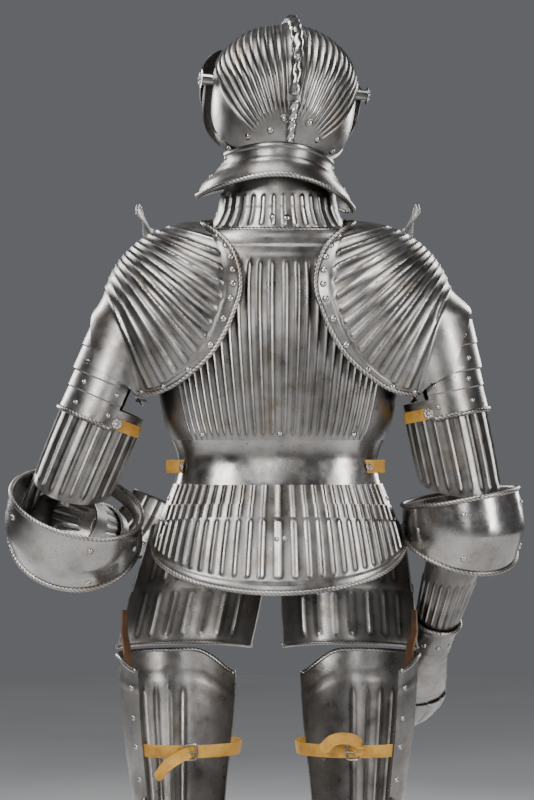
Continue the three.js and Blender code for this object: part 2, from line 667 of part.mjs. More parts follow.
for (const side of ["left", "right"]) {
  const arm = arms[side];
  const down = arm.down.clone().normalize();
  const fore = arm.fore.clone().normalize();
  const up = down.clone().negate();
  const outward = vector(side === "left" ? 1 : -1, 0, 0);
  const upper = basis(up, fore);
  const lower = basis(fore.clone().negate(), up);
  const middle = basis(down.clone().add(fore).negate(), fore.clone().sub(down));
  // Angle from the bend's side to the outer side of the upper arm
  const outerAngle = THREE.MathUtils.radToDeg(Math.atan2(outward.dot(upper.b), outward.dot(upper.a)));

  const round = spread(0, 360, cannonFlutes * 2).slice(0, -1);
  const cutAt = (u, near, far) => mix(far, near, (1 + Math.cos(radians(u))) / 2);
  // The upper cannon's outer side runs down in a tongue to the elbow's pivot.
  const upperSign = Math.sign(outward.dot(upper.b));
  const tongue = (u) => ease(0.87, 0.95, Math.sin(radians(u)) * upperSign);
  const upperFrom = (u) => mix(cutAt(u, 80, 26), -8, tongue(u));
  wall(`upper_cannon_${side}`, steel, tubeFace(arm.elbow, upper, upperSections, (u) => u, (u, v) => mix(upperFrom(u), 190, v)), round, [0, 0.5, 0.8, 1], {
    closed: true,
    relief: (u, v) => ridge * fluteWave(u, cannonFlutes, 0, 360) * (1 - ease(0.6, 0.8, v)),
  });
  // The lower cannon's outer side runs up in an ear over that tongue.
  const outerSign = Math.sign(outward.dot(lower.b));
  const ear = (u) => ease(0.6, 0.92, Math.sin(radians(u)) * outerSign);
  const cannonFace = (u, v) => {
    const tip = ease(0.93, 0.975, Math.sin(radians(u)) * outerSign);
    const d = mix(-238, mix(-cutAt(u, 60, 26), 6, tip), v);
    const free = read(lowerSections, "d", "wide", d) * Math.sin(radians(u));
    const shift = (pivotReach * outerSign - free) * ear(u) * ease(-85, -31, d);
    return tubeFace(arm.elbow, lower, lowerSections, () => u, () => d)(u, v).addScaledVector(lower.b, shift);
  };
  wall(`lower_cannon_${side}`, steel, cannonFace, cannonColumns(outerSign), [0, 0.4, 0.66, 0.88, 1], { closed: true });

  // Elbow cap that wraps the whole joint: deep at the point of the elbow, narrow inside the bend.
  const wrapHeight = (u) => mix(12, couterShape[side].tall, (1 - Math.cos(radians(u))) / 2);
  const tip = (u) => ease(-0.2, -1, Math.cos(radians(u)));
  const inward = Math.sign(-outward.dot(middle.b));
  const heart = arm.elbow
    .clone()
    .addScaledVector(middle.b, inward * couterShape[side].slide)
    .addScaledVector(middle.w, couterShape[side].rise);
  const couterTable = couterSections.map((row) => ({ ...row, wide: row.wide * couterShape[side].wide }));
  const couterFace = tubeFace(heart, middle, couterTable, (u) => u, (u, v) => (v * 2 - 1) * wrapHeight(u));
  const couter = wall(`couter_${side}`, polished, couterFace, spread(0, 360, 16).slice(0, -1), [0, 0.14, 0.5, 0.86, 1], {
    closed: true,
    relief: (u, v) => 6 * tip(u) * (1 - Math.abs(v * 2 - 1)),
  });
  const wallReach = 102 * couterShape[side].wide - couterShape[side].slide - plate / 2;
  const post = (reach) => arm.elbow.clone().addScaledVector(middle.b, -inward * reach);
  addPost(couter, post(pivotReach + 0.6), post(wallReach), 7);

  // Shoulder lames round the outer side of the arm.
  const lames = [
    { name: "arm_lame_lower", low: 158, high: 232, out: 3.4, half: 112 },
    { name: "arm_lame_upper", low: 222, high: 300, out: 6.2, half: 100 },
  ];
  for (const lame of lames) {
    const angleAt = (u) => outerAngle + u * lame.half;
    const face = tubeFace(arm.elbow, upper, upperSections, angleAt, (u, v) => mix(lame.low, lame.high, v), lame.out);
    wall(`${lame.name}_${side}`, steel, face, spread(-1, 1, 14), [0, 1]);
  }
  // Buff strap across the inner side of the arm, between the lower lame's ends.
  const strapAngle = (u) => outerAngle + mix(113.5, 246.5, u);
  wall(`arm_strap_${side}`, buff, tubeFace(arm.elbow, upper, upperSections, strapAngle, (u, v) => mix(160, 178, v), 3.5), spread(0, 1, 12), [0, 1], { thickness: leather });

  // Gauntlet: flared cuff, back of the hand, and one row of finger lames for all four fingers.
  const cuffSections = [
    { d: -248, bend: 33.5, wide: 34.5, shift: 0 },
    { d: -225, bend: 34, wide: 34.5, shift: 0 },
    { d: -198, bend: 38, wide: 38.5, shift: 0 },
  ];
  wall(`gauntlet_cuff_${side}`, steel, tubeFace(arm.elbow, lower, cuffSections, (u) => u, (u, v) => mix(-248, -198, v)), spread(0, 360, 16).slice(0, -1), spread(0, 1, 2), { closed: true });
  const handSections = [
    { d: -352, bend: 25, wide: 50, shift: -6 },
    { d: -320, bend: 28, wide: 50, shift: -4 },
    { d: -275, bend: 30, wide: 40, shift: -1 },
    { d: -243, bend: 30.3, wide: 30.4, shift: 0 },
  ];
  // The back of the hand looks away from the bend.
  wall(`gauntlet_hand_${side}`, steel, tubeFace(arm.elbow, lower, handSections, (u) => mix(78, 282, u), (u, v) => mix(-352, -243, v)), spread(0, 1, 12), spread(0, 1, 3));
  const fingerFace = (u, v) => {
    const curl = radians(mix(92, 0, v));
    const angle = radians(mix(74, 286, u));
    const bow = 74;
    const knuckle = arm.elbow.clone().addScaledVector(lower.w, -342).addScaledVector(lower.a, bow - 4);
    const across = mix(43, 57, v);
    const deep = mix(24, 32.5, v);
    const radius = bow - deep * Math.cos(angle);
    return knuckle
      .addScaledVector(lower.w, -radius * Math.sin(curl))
      .addScaledVector(lower.a, -radius * Math.cos(curl))
      .addScaledVector(lower.b, across * Math.sin(angle));
  };
  wall(`gauntlet_fingers_${side}`, steel, (u, v) => fingerFace(1 - u, 1 - v), spread(0, 1, 10), spread(0, 1, 4));
}

// Legs: thigh plates open behind, knee caps, closed greaves and round-toed sabatons.
const knee = 490;
const thighSections = [
  { z: 520, wide: 73, deep: 74 },
  { z: 600, wide: 82, deep: 84 },
  { z: 700, wide: 95, deep: 94 },
  { z: 790, wide: 101, deep: 102 },
];
const shinSections = [
  { z: 30, wide: 44, front: 48, back: 60 },
  { z: 92, wide: 45, front: 48, back: 50 },
  { z: 160, wide: 45, front: 48, back: 46 },
  { z: 300, wide: 62, front: 58, back: 66 },
  { z: 390, wide: 62, front: 63, back: 62 },
  { z: 450, wide: 75, front: 79.4, back: 66 },
];
const footSections = [
  { y: -212, wide: 34, high: 18 },
  { y: -196, wide: 50, high: 31 },
  { y: -160, wide: 54, high: 44 },
  { y: -100, wide: 48, high: 66 },
  { y: -48.6, wide: 46, high: 99.4 },
];
for (const mirrored of [false, true]) {
  const side = mirrored ? "right" : "left";
  const leg = new THREE.Group();
  leg.position.x = (mirrored ? -1 : 1) * legSpread[side];
  suit.add(leg);
  const oval = (wide, front, back, degrees) => {
    const a = radians(degrees);
    return [wide * Math.cos(a), (Math.sin(a) < 0 ? front : back) * Math.sin(a)];
  };
  const cuisseFace = (u, v) => {
    const angle = mix(-146, 48, u);
    const top = 806 - 34 * ease(0.75, 1, 1 - u) - 20 * ease(0.8, 1, u);
    const z = mix(530 + 60 * ease(0.75, 1, u), top, v);
    const deep = read(thighSections, "z", "deep", z);
    const [x, y] = oval(read(thighSections, "z", "wide", z), deep, deep * 0.95, angle);
    return vector(x, y, z);
  };
  wall(`cuisse_${side}`, steel, cuisseFace, spread(0, 1, 16), spread(0, 1, 3), { mirrored, parent: leg });

  // Knee cap: round about the knee's own axis in front, with its wing at the outer side.
  const kneeFace = (u, v) => {
    const angle = mix(-150, 34, u);
    const half = mix(22, 34, Math.max(0, -Math.sin(radians(angle))));
    const lift = radians((v * 2 - 1) * half);
    const [x, y] = oval(82, 95, 70, angle);
    return vector(x * mix(1, Math.cos(lift), 0.5), y * Math.cos(lift), knee + 95 * Math.sin(lift));
  };
  wall(`poleyn_${side}`, polished, kneeFace, spread(0, 1, 14), spread(0, 1, 4), { mirrored, parent: leg });

  const greaveFace = (u, v) => {
    const z = mix(
      mix(102, 34, ease(-0.9, 0.6, Math.sin(radians(u)))),
      446 - 44 * ease(-0.2, 0.9, Math.sin(radians(u))),
      v,
    );
    const wide = read(shinSections, "z", "wide", z);
    const [x, y] = oval(wide, read(shinSections, "z", "front", z), read(shinSections, "z", "back", z), u);
    return vector(x, y, z);
  };
  wall(`greave_${side}`, steel, greaveFace, spread(0, 360, 16).slice(0, -1), spread(0, 1, 4), { closed: true, mirrored, parent: leg });

  // Sabaton: an arched shell over the foot, open at the heel and below.
  const footFace = (u, v) => {
    const y = mix(-212, -48.6, v);
    const a = radians(mix(0, 180, u));
    const wide = read(footSections, "y", "wide", y);
    const high = read(footSections, "y", "high", y);
    return vector(wide * power(Math.cos(a), 0.8), y, 2 + high * power(Math.sin(a), 0.8));
  };
  wall(`sabaton_${side}`, steel, (u, v) => footFace(u, 1 - v), spread(0, 1, 10), spread(0, 1, 4), { mirrored, parent: leg });

  // The thigh's strap, round the open back, and the tab that the thigh plate hangs from.
  const strapFace = (u, v) => {
    const angle = mix(50, 212, u);
    const z = mix(652, 672, v);
    const deep = read(thighSections, "z", "deep", z);
    const [x, y] = oval(read(thighSections, "z", "wide", z), deep, deep * 0.9, angle);
    return vector(x, y, z);
  };
  wall(`leg_strap_${side}`, buff, strapFace, spread(0, 1, 14), [0, 1], { thickness: leather, mirrored, parent: leg });
  const tabFace = (u, v) => {
    const angle = mix(-34, -12, mix(0.5, u, mix(1, 0.35, v)));
    const z = mix(742, 872, v);
    const grow = mix(plate + 2 * seam, mirrored ? -5.2 : -1.5, ease(806, 840, z));
    const wide = read(thighSections, "z", "wide", Math.min(z, 800)) - grow;
    const [x, y] = oval(wide, wide, wide, angle);
    return vector(x, y, z);
  };
  wall(`thigh_tab_${side}`, brown, tabFace, spread(0, 1, 3), spread(0, 1, 4), { thickness: leather, mirrored, parent: leg });
}

export default suit;
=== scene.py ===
# Looks of a fluted suit of plate armour, worn pose, around its packed construction.
import json
import math
import bpy
import numpy as np
from mathutils import Matrix, Vector


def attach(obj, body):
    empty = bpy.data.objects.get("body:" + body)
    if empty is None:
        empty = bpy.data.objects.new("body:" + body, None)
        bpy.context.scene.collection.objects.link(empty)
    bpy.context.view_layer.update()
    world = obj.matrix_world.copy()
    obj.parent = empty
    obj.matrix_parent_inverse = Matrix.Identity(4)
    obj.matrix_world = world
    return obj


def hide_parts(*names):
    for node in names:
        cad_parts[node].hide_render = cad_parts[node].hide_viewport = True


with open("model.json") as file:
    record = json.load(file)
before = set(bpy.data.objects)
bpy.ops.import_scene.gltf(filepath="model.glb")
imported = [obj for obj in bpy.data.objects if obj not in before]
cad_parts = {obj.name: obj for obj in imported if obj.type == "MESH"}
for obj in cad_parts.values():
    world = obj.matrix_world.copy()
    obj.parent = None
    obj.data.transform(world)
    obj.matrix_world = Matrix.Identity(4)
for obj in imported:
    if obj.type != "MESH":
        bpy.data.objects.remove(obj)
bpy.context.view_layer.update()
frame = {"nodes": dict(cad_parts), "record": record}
bodyOf = {node: body for body, nodes in frame["record"]["behaviour"]["bodies"].items() for node in nodes}
bpy.ops.object.select_all(action="DESELECT")
print("stage: frame loaded,", len(frame["nodes"]), "nodes")

groundUp = 1450  # sizes are laid out in mm from the ground, and the origin is at the shoulders
toMetres = 0.001

# Camera at the photograph's angle, behind the suit
photoView = {
    "height": 800, "mmPerPixel": 1.56, "centreX": 17, "centreZ": 1202, "distance": 5000, "sensor": 24,
}


def placeCamera():
    tall = photoView["height"] * photoView["mmPerPixel"]
    spot = (photoView["centreX"], photoView["distance"], photoView["centreZ"] - groundUp)
    bpy.ops.object.camera_add(location=Vector(spot) * toMetres, rotation=(math.pi / 2, 0, math.pi))
    camera = bpy.context.object
    camera.data.sensor_fit = "VERTICAL"
    camera.data.sensor_height = photoView["sensor"]
    camera.data.lens = photoView["sensor"] * photoView["distance"] / tall
    bpy.context.scene.camera = camera


# Soft boxes: place in metres, size, power in watts
softBoxes = [
    {"at": (2.3, 3.0, 1.5), "size": (1.3, 2.2), "watts": 150},
    {"at": (-2.7, 2.3, 0.6), "size": (0.8, 2.4), "watts": 95},
    {"at": (0.2, 0.5, 2.6), "size": (1.8, 1.4), "watts": 85},
    {"at": (0.4, 4.4, 0.5), "size": (0.9, 1.8), "watts": 34},
    {"at": (2.4, -2.6, 0.9), "size": (1.2, 2.2), "watts": 110},
    {"at": (-2.2, -3.0, 0.9), "size": (1.2, 2.2), "watts": 90},
]


def lightStudio():
    target = Vector((0, 0, -0.3))
    for box in softBoxes:
        bpy.ops.object.light_add(type="AREA", location=box["at"])
        lamp = bpy.context.object
        lamp.data.shape = "RECTANGLE"
        lamp.data.size, lamp.data.size_y = box["size"]
        lamp.data.energy = box["watts"]
        lamp.rotation_euler = (target - lamp.location).to_track_quat("-Z", "Y").to_euler()
    world = bpy.data.worlds.new("studio")
    bpy.context.scene.world = world
    world.use_nodes = True
    world.node_tree.nodes["Background"].inputs["Color"].default_value = (0.30, 0.31, 0.33, 1)
    world.node_tree.nodes["Background"].inputs["Strength"].default_value = 0.42


# Material building
def addNode(tree, kind, values=None, **settings):
    made = tree.nodes.new(kind)
    for key, value in settings.items():
        setattr(made, key, value)
    for key, value in (values or {}).items():
        made.inputs[key].default_value = value
    return made


def addRamp(tree, source, stops):
    made = tree.nodes.new("ShaderNodeValToRGB")
    edges = made.color_ramp.elements
    while len(edges) < len(stops):
        edges.new(0.5)
    for edge, (place, colour) in zip(edges, stops):
        edge.position = place
        edge.color = (*colour, 1) if len(colour) == 3 else colour
    tree.links.new(source, made.inputs["Fac"])
    return made.outputs["Color"]


def multiply(tree, first, second, amount=1.0):
    made = tree.nodes.new("ShaderNodeMix")
    made.data_type = "RGBA"
    made.blend_type = "MULTIPLY"
    made.inputs[0].default_value = amount
    tree.links.new(first, made.inputs[6])
    tree.links.new(second, made.inputs[7])
    return made.outputs[2]


def addBump(tree, height, distance, strength, normal=None):
    made = addNode(tree, "ShaderNodeBump", {"Distance": distance, "Strength": strength})
    tree.links.new(height, made.inputs["Height"])
    if normal:
        tree.links.new(normal, made.inputs["Normal"])
    return made.outputs["Normal"]


def grey(value, warmth=0.0):
    return (value * (1 + warmth), value, value * (1 - warmth))


def startMaterial(name):
    material = bpy.data.materials.new(name)
    material.use_nodes = True
    tree = material.node_tree
    where = tree.nodes.new("ShaderNodeTexCoord").outputs["Object"]
    return material, tree, tree.nodes["Principled BSDF"], where


def noiseAt(tree, where, scale, detail=4, stretch=None):
    if stretch:
        turned = addNode(tree, "ShaderNodeMapping", {"Scale": stretch})
        tree.links.new(where, turned.inputs["Vector"])
        where = turned.outputs["Vector"]
    made = addNode(tree, "ShaderNodeTexNoise", {"Scale": scale, "Detail": detail, "Roughness": 0.6})
    tree.links.new(where, made.inputs["Vector"])
    return made.outputs["Fac"]


# Painted light across a flute: mid grey in its hollows, a painted shade line beside the ridge, and a painted
# highlight on its ridge
paintedFluteLight = [
    (0.0, grey(0.72, 0.02)),
    (0.3, grey(0.6, 0.03)),
    (0.5, grey(0.3, 0.07)),
    (0.72, grey(0.7)),
    (0.9, grey(1.0)),
]


# Old polished steel: cloudy patina, painted shade beside the flute ridges and painted highlights on them,
# pits and wiping marks
def steelFinish(name, dark, light, smooth, rough, paintedLight=0.75):
    material, tree, shader, where = startMaterial(name)
    shader.inputs["Metallic"].default_value = 1
    tone = addRamp(tree, noiseAt(tree, where, 9, 7), [(0.34, dark), (0.64, light)])
    brown = addRamp(tree, noiseAt(tree, where, 23, 5), [(0.52, (1, 1, 1)), (0.74, (0.80, 0.70, 0.60))])
    tone = multiply(tree, tone, brown)
    pits = addRamp(tree, noiseAt(tree, where, 310, 2), [(0.28, (0.35, 0.31, 0.28)), (0.36, (1, 1, 1))])
    tone = multiply(tree, tone, pits, 0.8)
    # Painted light: the per-point tone gives painted shade beside each flute ridge and a painted highlight on
    # it, multiplied into the base colour
    crest_light = addNode(tree, "ShaderNodeAttribute", attribute_name="crest_light").outputs["Fac"]
    paintedRidgeLight = addRamp(tree, crest_light, paintedFluteLight)
    tree.links.new(multiply(tree, tone, paintedRidgeLight, paintedLight), shader.inputs["Base Color"])
    wear = noiseAt(tree, where, 40, 6)
    wiped = noiseAt(tree, where, 90, 3, (1, 1, 0.12))
    limits = {"From Min": 0.3, "From Max": 0.7, "To Min": smooth, "To Max": rough}
    worn = addNode(tree, "ShaderNodeMapRange", limits)
    tree.links.new(wear, worn.inputs["Value"])
    tree.links.new(worn.outputs["Result"], shader.inputs["Roughness"])
    dented = addBump(tree, noiseAt(tree, where, 28, 3), 0.0012, 0.22)
    scratched = addBump(tree, wiped, 0.0003, 0.22, dented)
    tree.links.new(addBump(tree, pits, 0.0002, 0.35, scratched), shader.inputs["Normal"])
    return material


# Leather: cloudy dye, stains, pebbled grain and creases
def leatherFinish(name, dark, light, grain):
    material, tree, shader, where = startMaterial(name)
    tone = addRamp(tree, noiseAt(tree, where, 26, 6), [(0.32, dark), (0.66, light)])
    stains = addRamp(tree, noiseAt(tree, where, 75, 4), [(0.30, (0.62, 0.55, 0.46)), (0.48, (1, 1, 1))])
    tree.links.new(multiply(tree, tone, stains, 0.7), shader.inputs["Base Color"])
    shader.inputs["Specular IOR Level"].default_value = 0.35
    rough = addNode(tree, "ShaderNodeMapRange", {"To Min": 0.48, "To Max": 0.78})
    tree.links.new(noiseAt(tree, where, 120, 4), rough.inputs["Value"])
    tree.links.new(rough.outputs["Result"], shader.inputs["Roughness"])
    cells = addNode(tree, "ShaderNodeTexVoronoi", {"Scale": grain})
    tree.links.new(where, cells.inputs["Vector"])
    pebbles = addBump(tree, cells.outputs["Distance"], 0.0003, 0.4)
    creases = addBump(tree, noiseAt(tree, where, 60, 4), 0.0008, 0.35, pebbles)
    tree.links.new(creases, shader.inputs["Normal"])
    return material


def floorFinish():
    material, tree, shader, where = startMaterial("pale_floor")
    tone = addRamp(tree, noiseAt(tree, where, 1.5, 2), [(0.3, grey(0.70)), (0.7, grey(0.76))])
    tree.links.new(tone, shader.inputs["Base Color"])
    shader.inputs["Roughness"].default_value = 0.8
    return material


# The last number of each steel sets how strongly its painted flute light is laid on
steel = steelFinish("steel_plate", grey(0.17, 0.035), grey(0.40, 0.025), 0.24, 0.42, 0.9)
bright = steelFinish("steel_polished", grey(0.22, 0.03), grey(0.46, 0.02), 0.15, 0.32, 0.6)
aged = steelFinish("steel_fittings", grey(0.20, 0.06), grey(0.44, 0.04), 0.26, 0.44, 0.9)
buff = leatherFinish("buff_leather", (0.28, 0.13, 0.016), (0.48, 0.26, 0.042), 900)
brown = leatherFinish("brown_leather", (0.075, 0.035, 0.018), (0.17, 0.085, 0.042), 800)
print("stage: materials")

placeCamera()
lightStudio()
floorPlace = (0, 0, -groundUp * toMetres)
bpy.ops.mesh.primitive_circle_add(vertices=96, radius=9, fill_type="NGON", location=floorPlace)
studioFloor = bpy.context.object
studioFloor.name = "floor"
studioFloor.data.materials.append(floorFinish())
print("stage: camera, light and floor")

# Small helpers for shapes, in mm
def mix(a, b, t):
    return a + (b - a) * t


def clamp(x, low, high):
    return min(high, max(low, x))


def ease(low, high, x):
    t = clamp((x - low) / (high - low), 0, 1)
    return t * t * (3 - 2 * t)


def spread(start, end, count):
    return [mix(start, end, i / count) for i in range(count + 1)]


def power(x, e):
    return math.copysign(abs(x) ** e, x)


def inScene(point):  # from mm above the ground to metres from the origin
    return (point - Vector((0, 0, groundUp))) * toMetres


def readAt(table, by, column, at):  # smooth value from a table of columns
    xs, ys = table[by], table[column]
    last = len(xs) - 1
    up = 1 if xs[last] > xs[0] else -1
    i = 0
    while i < last - 1 and (xs[i + 1] - at) * up < 0:
        i += 1

    def slope(k):
        a, b = max(0, k - 1), min(last, k + 1)
        return (ys[b] - ys[a]) / (xs[b] - xs[a])

    span = xs[i + 1] - xs[i]
    t = (at - xs[i]) / span
    if t < 0:
        return ys[i] + slope(i) * span * t
    if t > 1:
        return ys[i + 1] + slope(i + 1) * span * (t - 1)
    t2, t3 = t * t, t * t * t
    low = (2 * t3 - 3 * t2 + 1) * ys[i] + (t3 - 2 * t2 + t) * span * slope(i)
    return low + (3 * t2 - 2 * t3) * ys[i + 1] + (t3 - t2) * span * slope(i + 1)


def fluteWave(u, count, start, end):  # 0 in the hollows and 1 on the ridges
    if u <= start or u >= end:
        return 0
    return 1 - abs(((u - start) / (end - start) * count) % 1 * 2 - 1)


def fluteColumns(count, start, end, plain, first, last, each=8):
    before = spread(first, start, plain)[:-1] if plain else []
    after = spread(end, last, plain)[1:] if plain else []
    return before + spread(start, end, count * each) + after


def shareAlong(v, start, full, fade, end):  # rises from start to full and falls from fade to end
    return ease(start, full, v) * (1 - ease(fade, end, v))


def between(low, high, x, soft=0.03):  # 1 inside a range, with soft ends
    return ease(low - soft, low + soft, x) * (1 - ease(high - soft, high + soft, x))


# Heights and thicknesses in mm, as in the construction
ridge = 2.6
plateThickness = 2
strapThickness = 2.5
# Painted light tone of plain parts: the mid grey of the flute ramp, darker than a painted ridge highlight
plainTone = 0.0


# Grid of points laid on a surface, as a mesh in metres
def meshFromGrid(name, points, closed=False, tone=None, skip=None):
    rows, columns = points.shape[:2]
    bpy.ops.object.select_all(action="DESELECT")
    bpy.ops.mesh.primitive_grid_add(x_subdivisions=columns - 1, y_subdivisions=rows - 1, size=1)
    piece = bpy.context.object
    piece.name = name
    metres = (points - np.array([0, 0, groundUp])) * toMetres
    piece.data.vertices.foreach_set("co", metres.astype(np.float32).ravel())
    # Per-point painted light tone, read by the steel's painted flute light
    crest_light = piece.data.attributes.new("crest_light", "FLOAT", "POINT")
    tones = np.full(rows * columns, plainTone) if tone is None else tone.ravel()
    crest_light.data.foreach_set("value", tones.astype(np.float32))
    piece.data.update()
    bpy.context.tool_settings.mesh_select_mode = (False, False, True)
    bpy.ops.object.mode_set(mode="EDIT")
    if skip is not None:
        bpy.ops.mesh.select_all(action="DESELECT")
        bpy.ops.object.mode_set(mode="OBJECT")
        piece.data.polygons.foreach_set("select", skip.ravel())
        bpy.ops.object.mode_set(mode="EDIT")
        bpy.ops.mesh.delete(type="FACE")
    bpy.ops.mesh.select_all(action="SELECT")
    if closed:
        bpy.ops.mesh.remove_doubles(threshold=2e-6)
    bpy.ops.object.mode_set(mode="OBJECT")
    return piece


def outwardOf(points, closed):
    upward = np.gradient(points, axis=0)
    if closed:
        ring = points[:, :-1]
        turned = np.roll(ring, -1, axis=1) - np.roll(ring, 1, axis=1)
        sideways = np.concatenate([turned, turned[:, :1]], axis=1)
    else:
        sideways = np.gradient(points, axis=1)
    normal = np.cross(sideways, upward)
    return normal / np.maximum(np.linalg.norm(normal, axis=2, keepdims=True), 1e-9)


def heightAt(plate, u, v):  # how far a point stands off its face, and its painted light tone: painted highlight on the ridge
    wave, share = plate["flute"](u, v) if "flute" in plate else (0, 0)
    lift = plate["lift"](u, v) if "lift" in plate else 0
    tall = plate.get("ridge", ridge)
    return tall * wave ** plate.get("sharp", 4) * share + lift, wave * share


def addWall(piece, thickness, offset=-1):  # by default the points lie on the outside
    wall = piece.modifiers.new("wall", "SOLIDIFY")
    wall.thickness = thickness * toMetres
    wall.offset = offset
    bpy.ops.object.modifier_apply(modifier=wall.name)


def finishPiece(piece, node, finish, smooth=35, hides=True):
    piece.data.materials.append(finish)
    bpy.ops.object.select_all(action="DESELECT")
    piece.select_set(True)
    bpy.context.view_layer.objects.active = piece
    bpy.ops.object.shade_smooth_by_angle(angle=math.radians(smooth))
    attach(piece, bodyOf[node])
    if hides:
        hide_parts(node)
    return piece


def evenSteps(run):  # a run is a list, or the number of even steps from 0 to 1
    return spread(0, 1, run) if isinstance(run, int) else run


# A plate from its dictionary: face(u, v) looks out where across runs anticlockwise and along runs up
def makePlate(plate):
    across, along = (evenSteps(plate[run]) for run in ("across", "along"))
    closed = plate.get("closed", False)
    points = np.array([[tuple(plate["face"](u, v)) for u in across] for v in along], dtype=float)
    stands = np.array([[heightAt(plate, u, v) for u in across] for v in along], dtype=float)
    points = points + outwardOf(points, closed) * stands[..., :1]
    # The ridge share becomes the painted light tone: painted highlight on the ridges, painted shade beside
    # them
    tones = stands[..., 1]
    if "place" in plate:
        turn = np.array(plate["place"].to_3x3())
        points = points @ turn.T + np.array(plate["place"].translation)
    skip = None
    if "skip" in plate:
        middles = [(a + b) / 2 for a, b in zip(across, across[1:])]
        levels = [(a + b) / 2 for a, b in zip(along, along[1:])]
        skip = np.array([[bool(plate["skip"](u, v)) for u in middles] for v in levels])
    if plate.get("mirrored"):
        points = points * np.array([-1, 1, 1])
        points, tones = points[:, ::-1], tones[:, ::-1]
        skip = skip[:, ::-1] if skip is not None else None
    piece = meshFromGrid(f"{plate['name']}_plate", points, closed, tones, skip)
    addWall(piece, plate.get("thickness", plateThickness))
    plate["piece"] = finishPiece(piece, plate.get("node", plate["name"]), plate.get("finish", steel))
    return plate


# Point and direction on the outside of a plate, in mm
def spotOn(plate, u, v, out=0):
    step = 0.002
    face = plate["face"]
    east = Vector(face(u + step, v)) - Vector(face(u - step, v))
    north = Vector(face(u, v + step)) - Vector(face(u, v - step))
    normal = east.cross(north).normalized()
    point = Vector(face(u, v)) + normal * (heightAt(plate, u, v)[0] + out)
    if "place" in plate:
        point = plate["place"] @ point
        normal = plate["place"].to_3x3() @ normal
    if plate.get("mirrored"):
        point.x, normal.x = -point.x, -normal.x
    return point, normal


rope = {"strands": 3, "pitch": 6.0, "depth": 0.24, "around": 12, "samples": 5}


# A twisted rope edge worked along a plate's rim
def makeRope(name, node, path, radius, finish=aged, closed=False, pitch=None):
    line = np.array([tuple(p) for p in path], dtype=float)
    if closed:
        line = np.vstack([line, line[:1]])
    lengths = np.concatenate([[0], np.cumsum(np.linalg.norm(np.diff(line, axis=0), axis=1))])
    whole = lengths[-1]
    wraps = max(2, round(whole / (pitch or rope["pitch"])))
    samples = max(rope["samples"], round((pitch or rope["pitch"]) / 1.3))
    steps = np.linspace(0, whole, wraps * samples + 1)
    centre = np.stack([np.interp(steps, lengths, line[:, k]) for k in range(3)], axis=1)
    tangent = np.gradient(centre, axis=0)
    if closed:
        tangent[0] = tangent[-1] = tangent[0] + tangent[-1]
    tangent /= np.linalg.norm(tangent, axis=1, keepdims=True)
    side = centre - line.mean(axis=0)
    side -= tangent * (side * tangent).sum(axis=1, keepdims=True)
    side /= np.linalg.norm(side, axis=1, keepdims=True)
    other = np.cross(tangent, side)
    angles = np.linspace(0, 2 * math.pi, rope["around"] + 1)[None, :]
    twist = (steps / whole * wraps * 2 * math.pi / rope["strands"])[:, None]
    lobes = 1 - rope["depth"] * (1 - np.abs(np.cos(rope["strands"] / 2 * (angles - twist))))
    sizes = np.full(len(steps), radius)
    if not closed:
        sizes[0] = sizes[-1] = 0
        sizes[1] = sizes[-2] = radius * 0.8
    reach = lobes * sizes[:, None]
    points = centre[:, None, :] + (reach * np.cos(angles))[..., None] * side[:, None, :]
    points = points + (reach * np.sin(angles))[..., None] * other[:, None, :]
    if closed:
        points[-1] = points[0]
    # Painted light on the rope: painted highlight on each strand's top, painted shade down its sides into the
    # grooves
    tones = 1 - (1 - lobes) / rope["depth"] * 0.9
    piece = meshFromGrid(name, points, True, tones)
    return finishPiece(piece, node, finish, 60, hides=False)


def rimPath(plate, us, v, out=0):
    return [spotOn(plate, u, v, out)[0] for u in us]


# Rivets: one domed head modelled once, then copied to its places
rivetSpots = {}
rivetSize = 1.25


def addRivets(node, spots, radius=3.6):
    rivetSpots.setdefault(bodyOf[node], []).extend((point, normal, radius) for point, normal in spots)


def rivetsOn(plate, places, radius=3.6):
    addRivets(plate.get("node", plate["name"]), [spotOn(plate, u, v) for u, v in places], radius)


photoZero = {"x": 278, "top": 1826.5}  # pixel column of the middle, and height of the top row


def seenAt(plate, pixels):  # where the photograph's pixels fall on a plate
    eye = Vector((photoView["centreX"], photoView["distance"], photoView["centreZ"] - groundUp)) * toMetres
    spots = []
    for px, py in pixels:
        across = (photoZero["x"] - px) * photoView["mmPerPixel"]
        up = photoZero["top"] - py * photoView["mmPerPixel"] - groundUp
        target = Vector((across, 0, up)) * toMetres
        hit, place, normal, _ = plate["piece"].ray_cast(eye, (target - eye).normalized())
        if hit:
            spots.append((place / toMetres + Vector((0, 0, groundUp)), normal))
        else:
            print("no plate at pixel", px, py, "on", plate["name"])
    return spots


# Torso
torso = {
    "z": [930, 990, 1040, 1080, 1115, 1170, 1230, 1320, 1400, 1455, 1490],
    "wide": [204, 190, 175, 161, 157, 178, 187, 187, 176, 146, 102],
    "back": [132, 122, 108, 97, 92, 101, 110, 117, 110, 94, 84],
    "front": [150, 142, 132, 122, 121, 158, 178, 174, 144, 94, 76],
    "square": 0.88,
}


def torsoPoint(degrees, z, out=0):
    a = math.radians(degrees)
    deep = readAt(torso, "z", "back" if math.sin(a) >= 0 else "front", z) + out
    wide = readAt(torso, "z", "wide", z) + out
    return (wide * power(math.cos(a), torso["square"]), deep * power(math.sin(a), torso["square"]), z)


back = {
    "flutes": 26, "waistHalf": 51, "topHalf": 64, "edge": 86,
    "waist": 1140, "band": 1424, "top": 1462, "armpit": 1316,
}


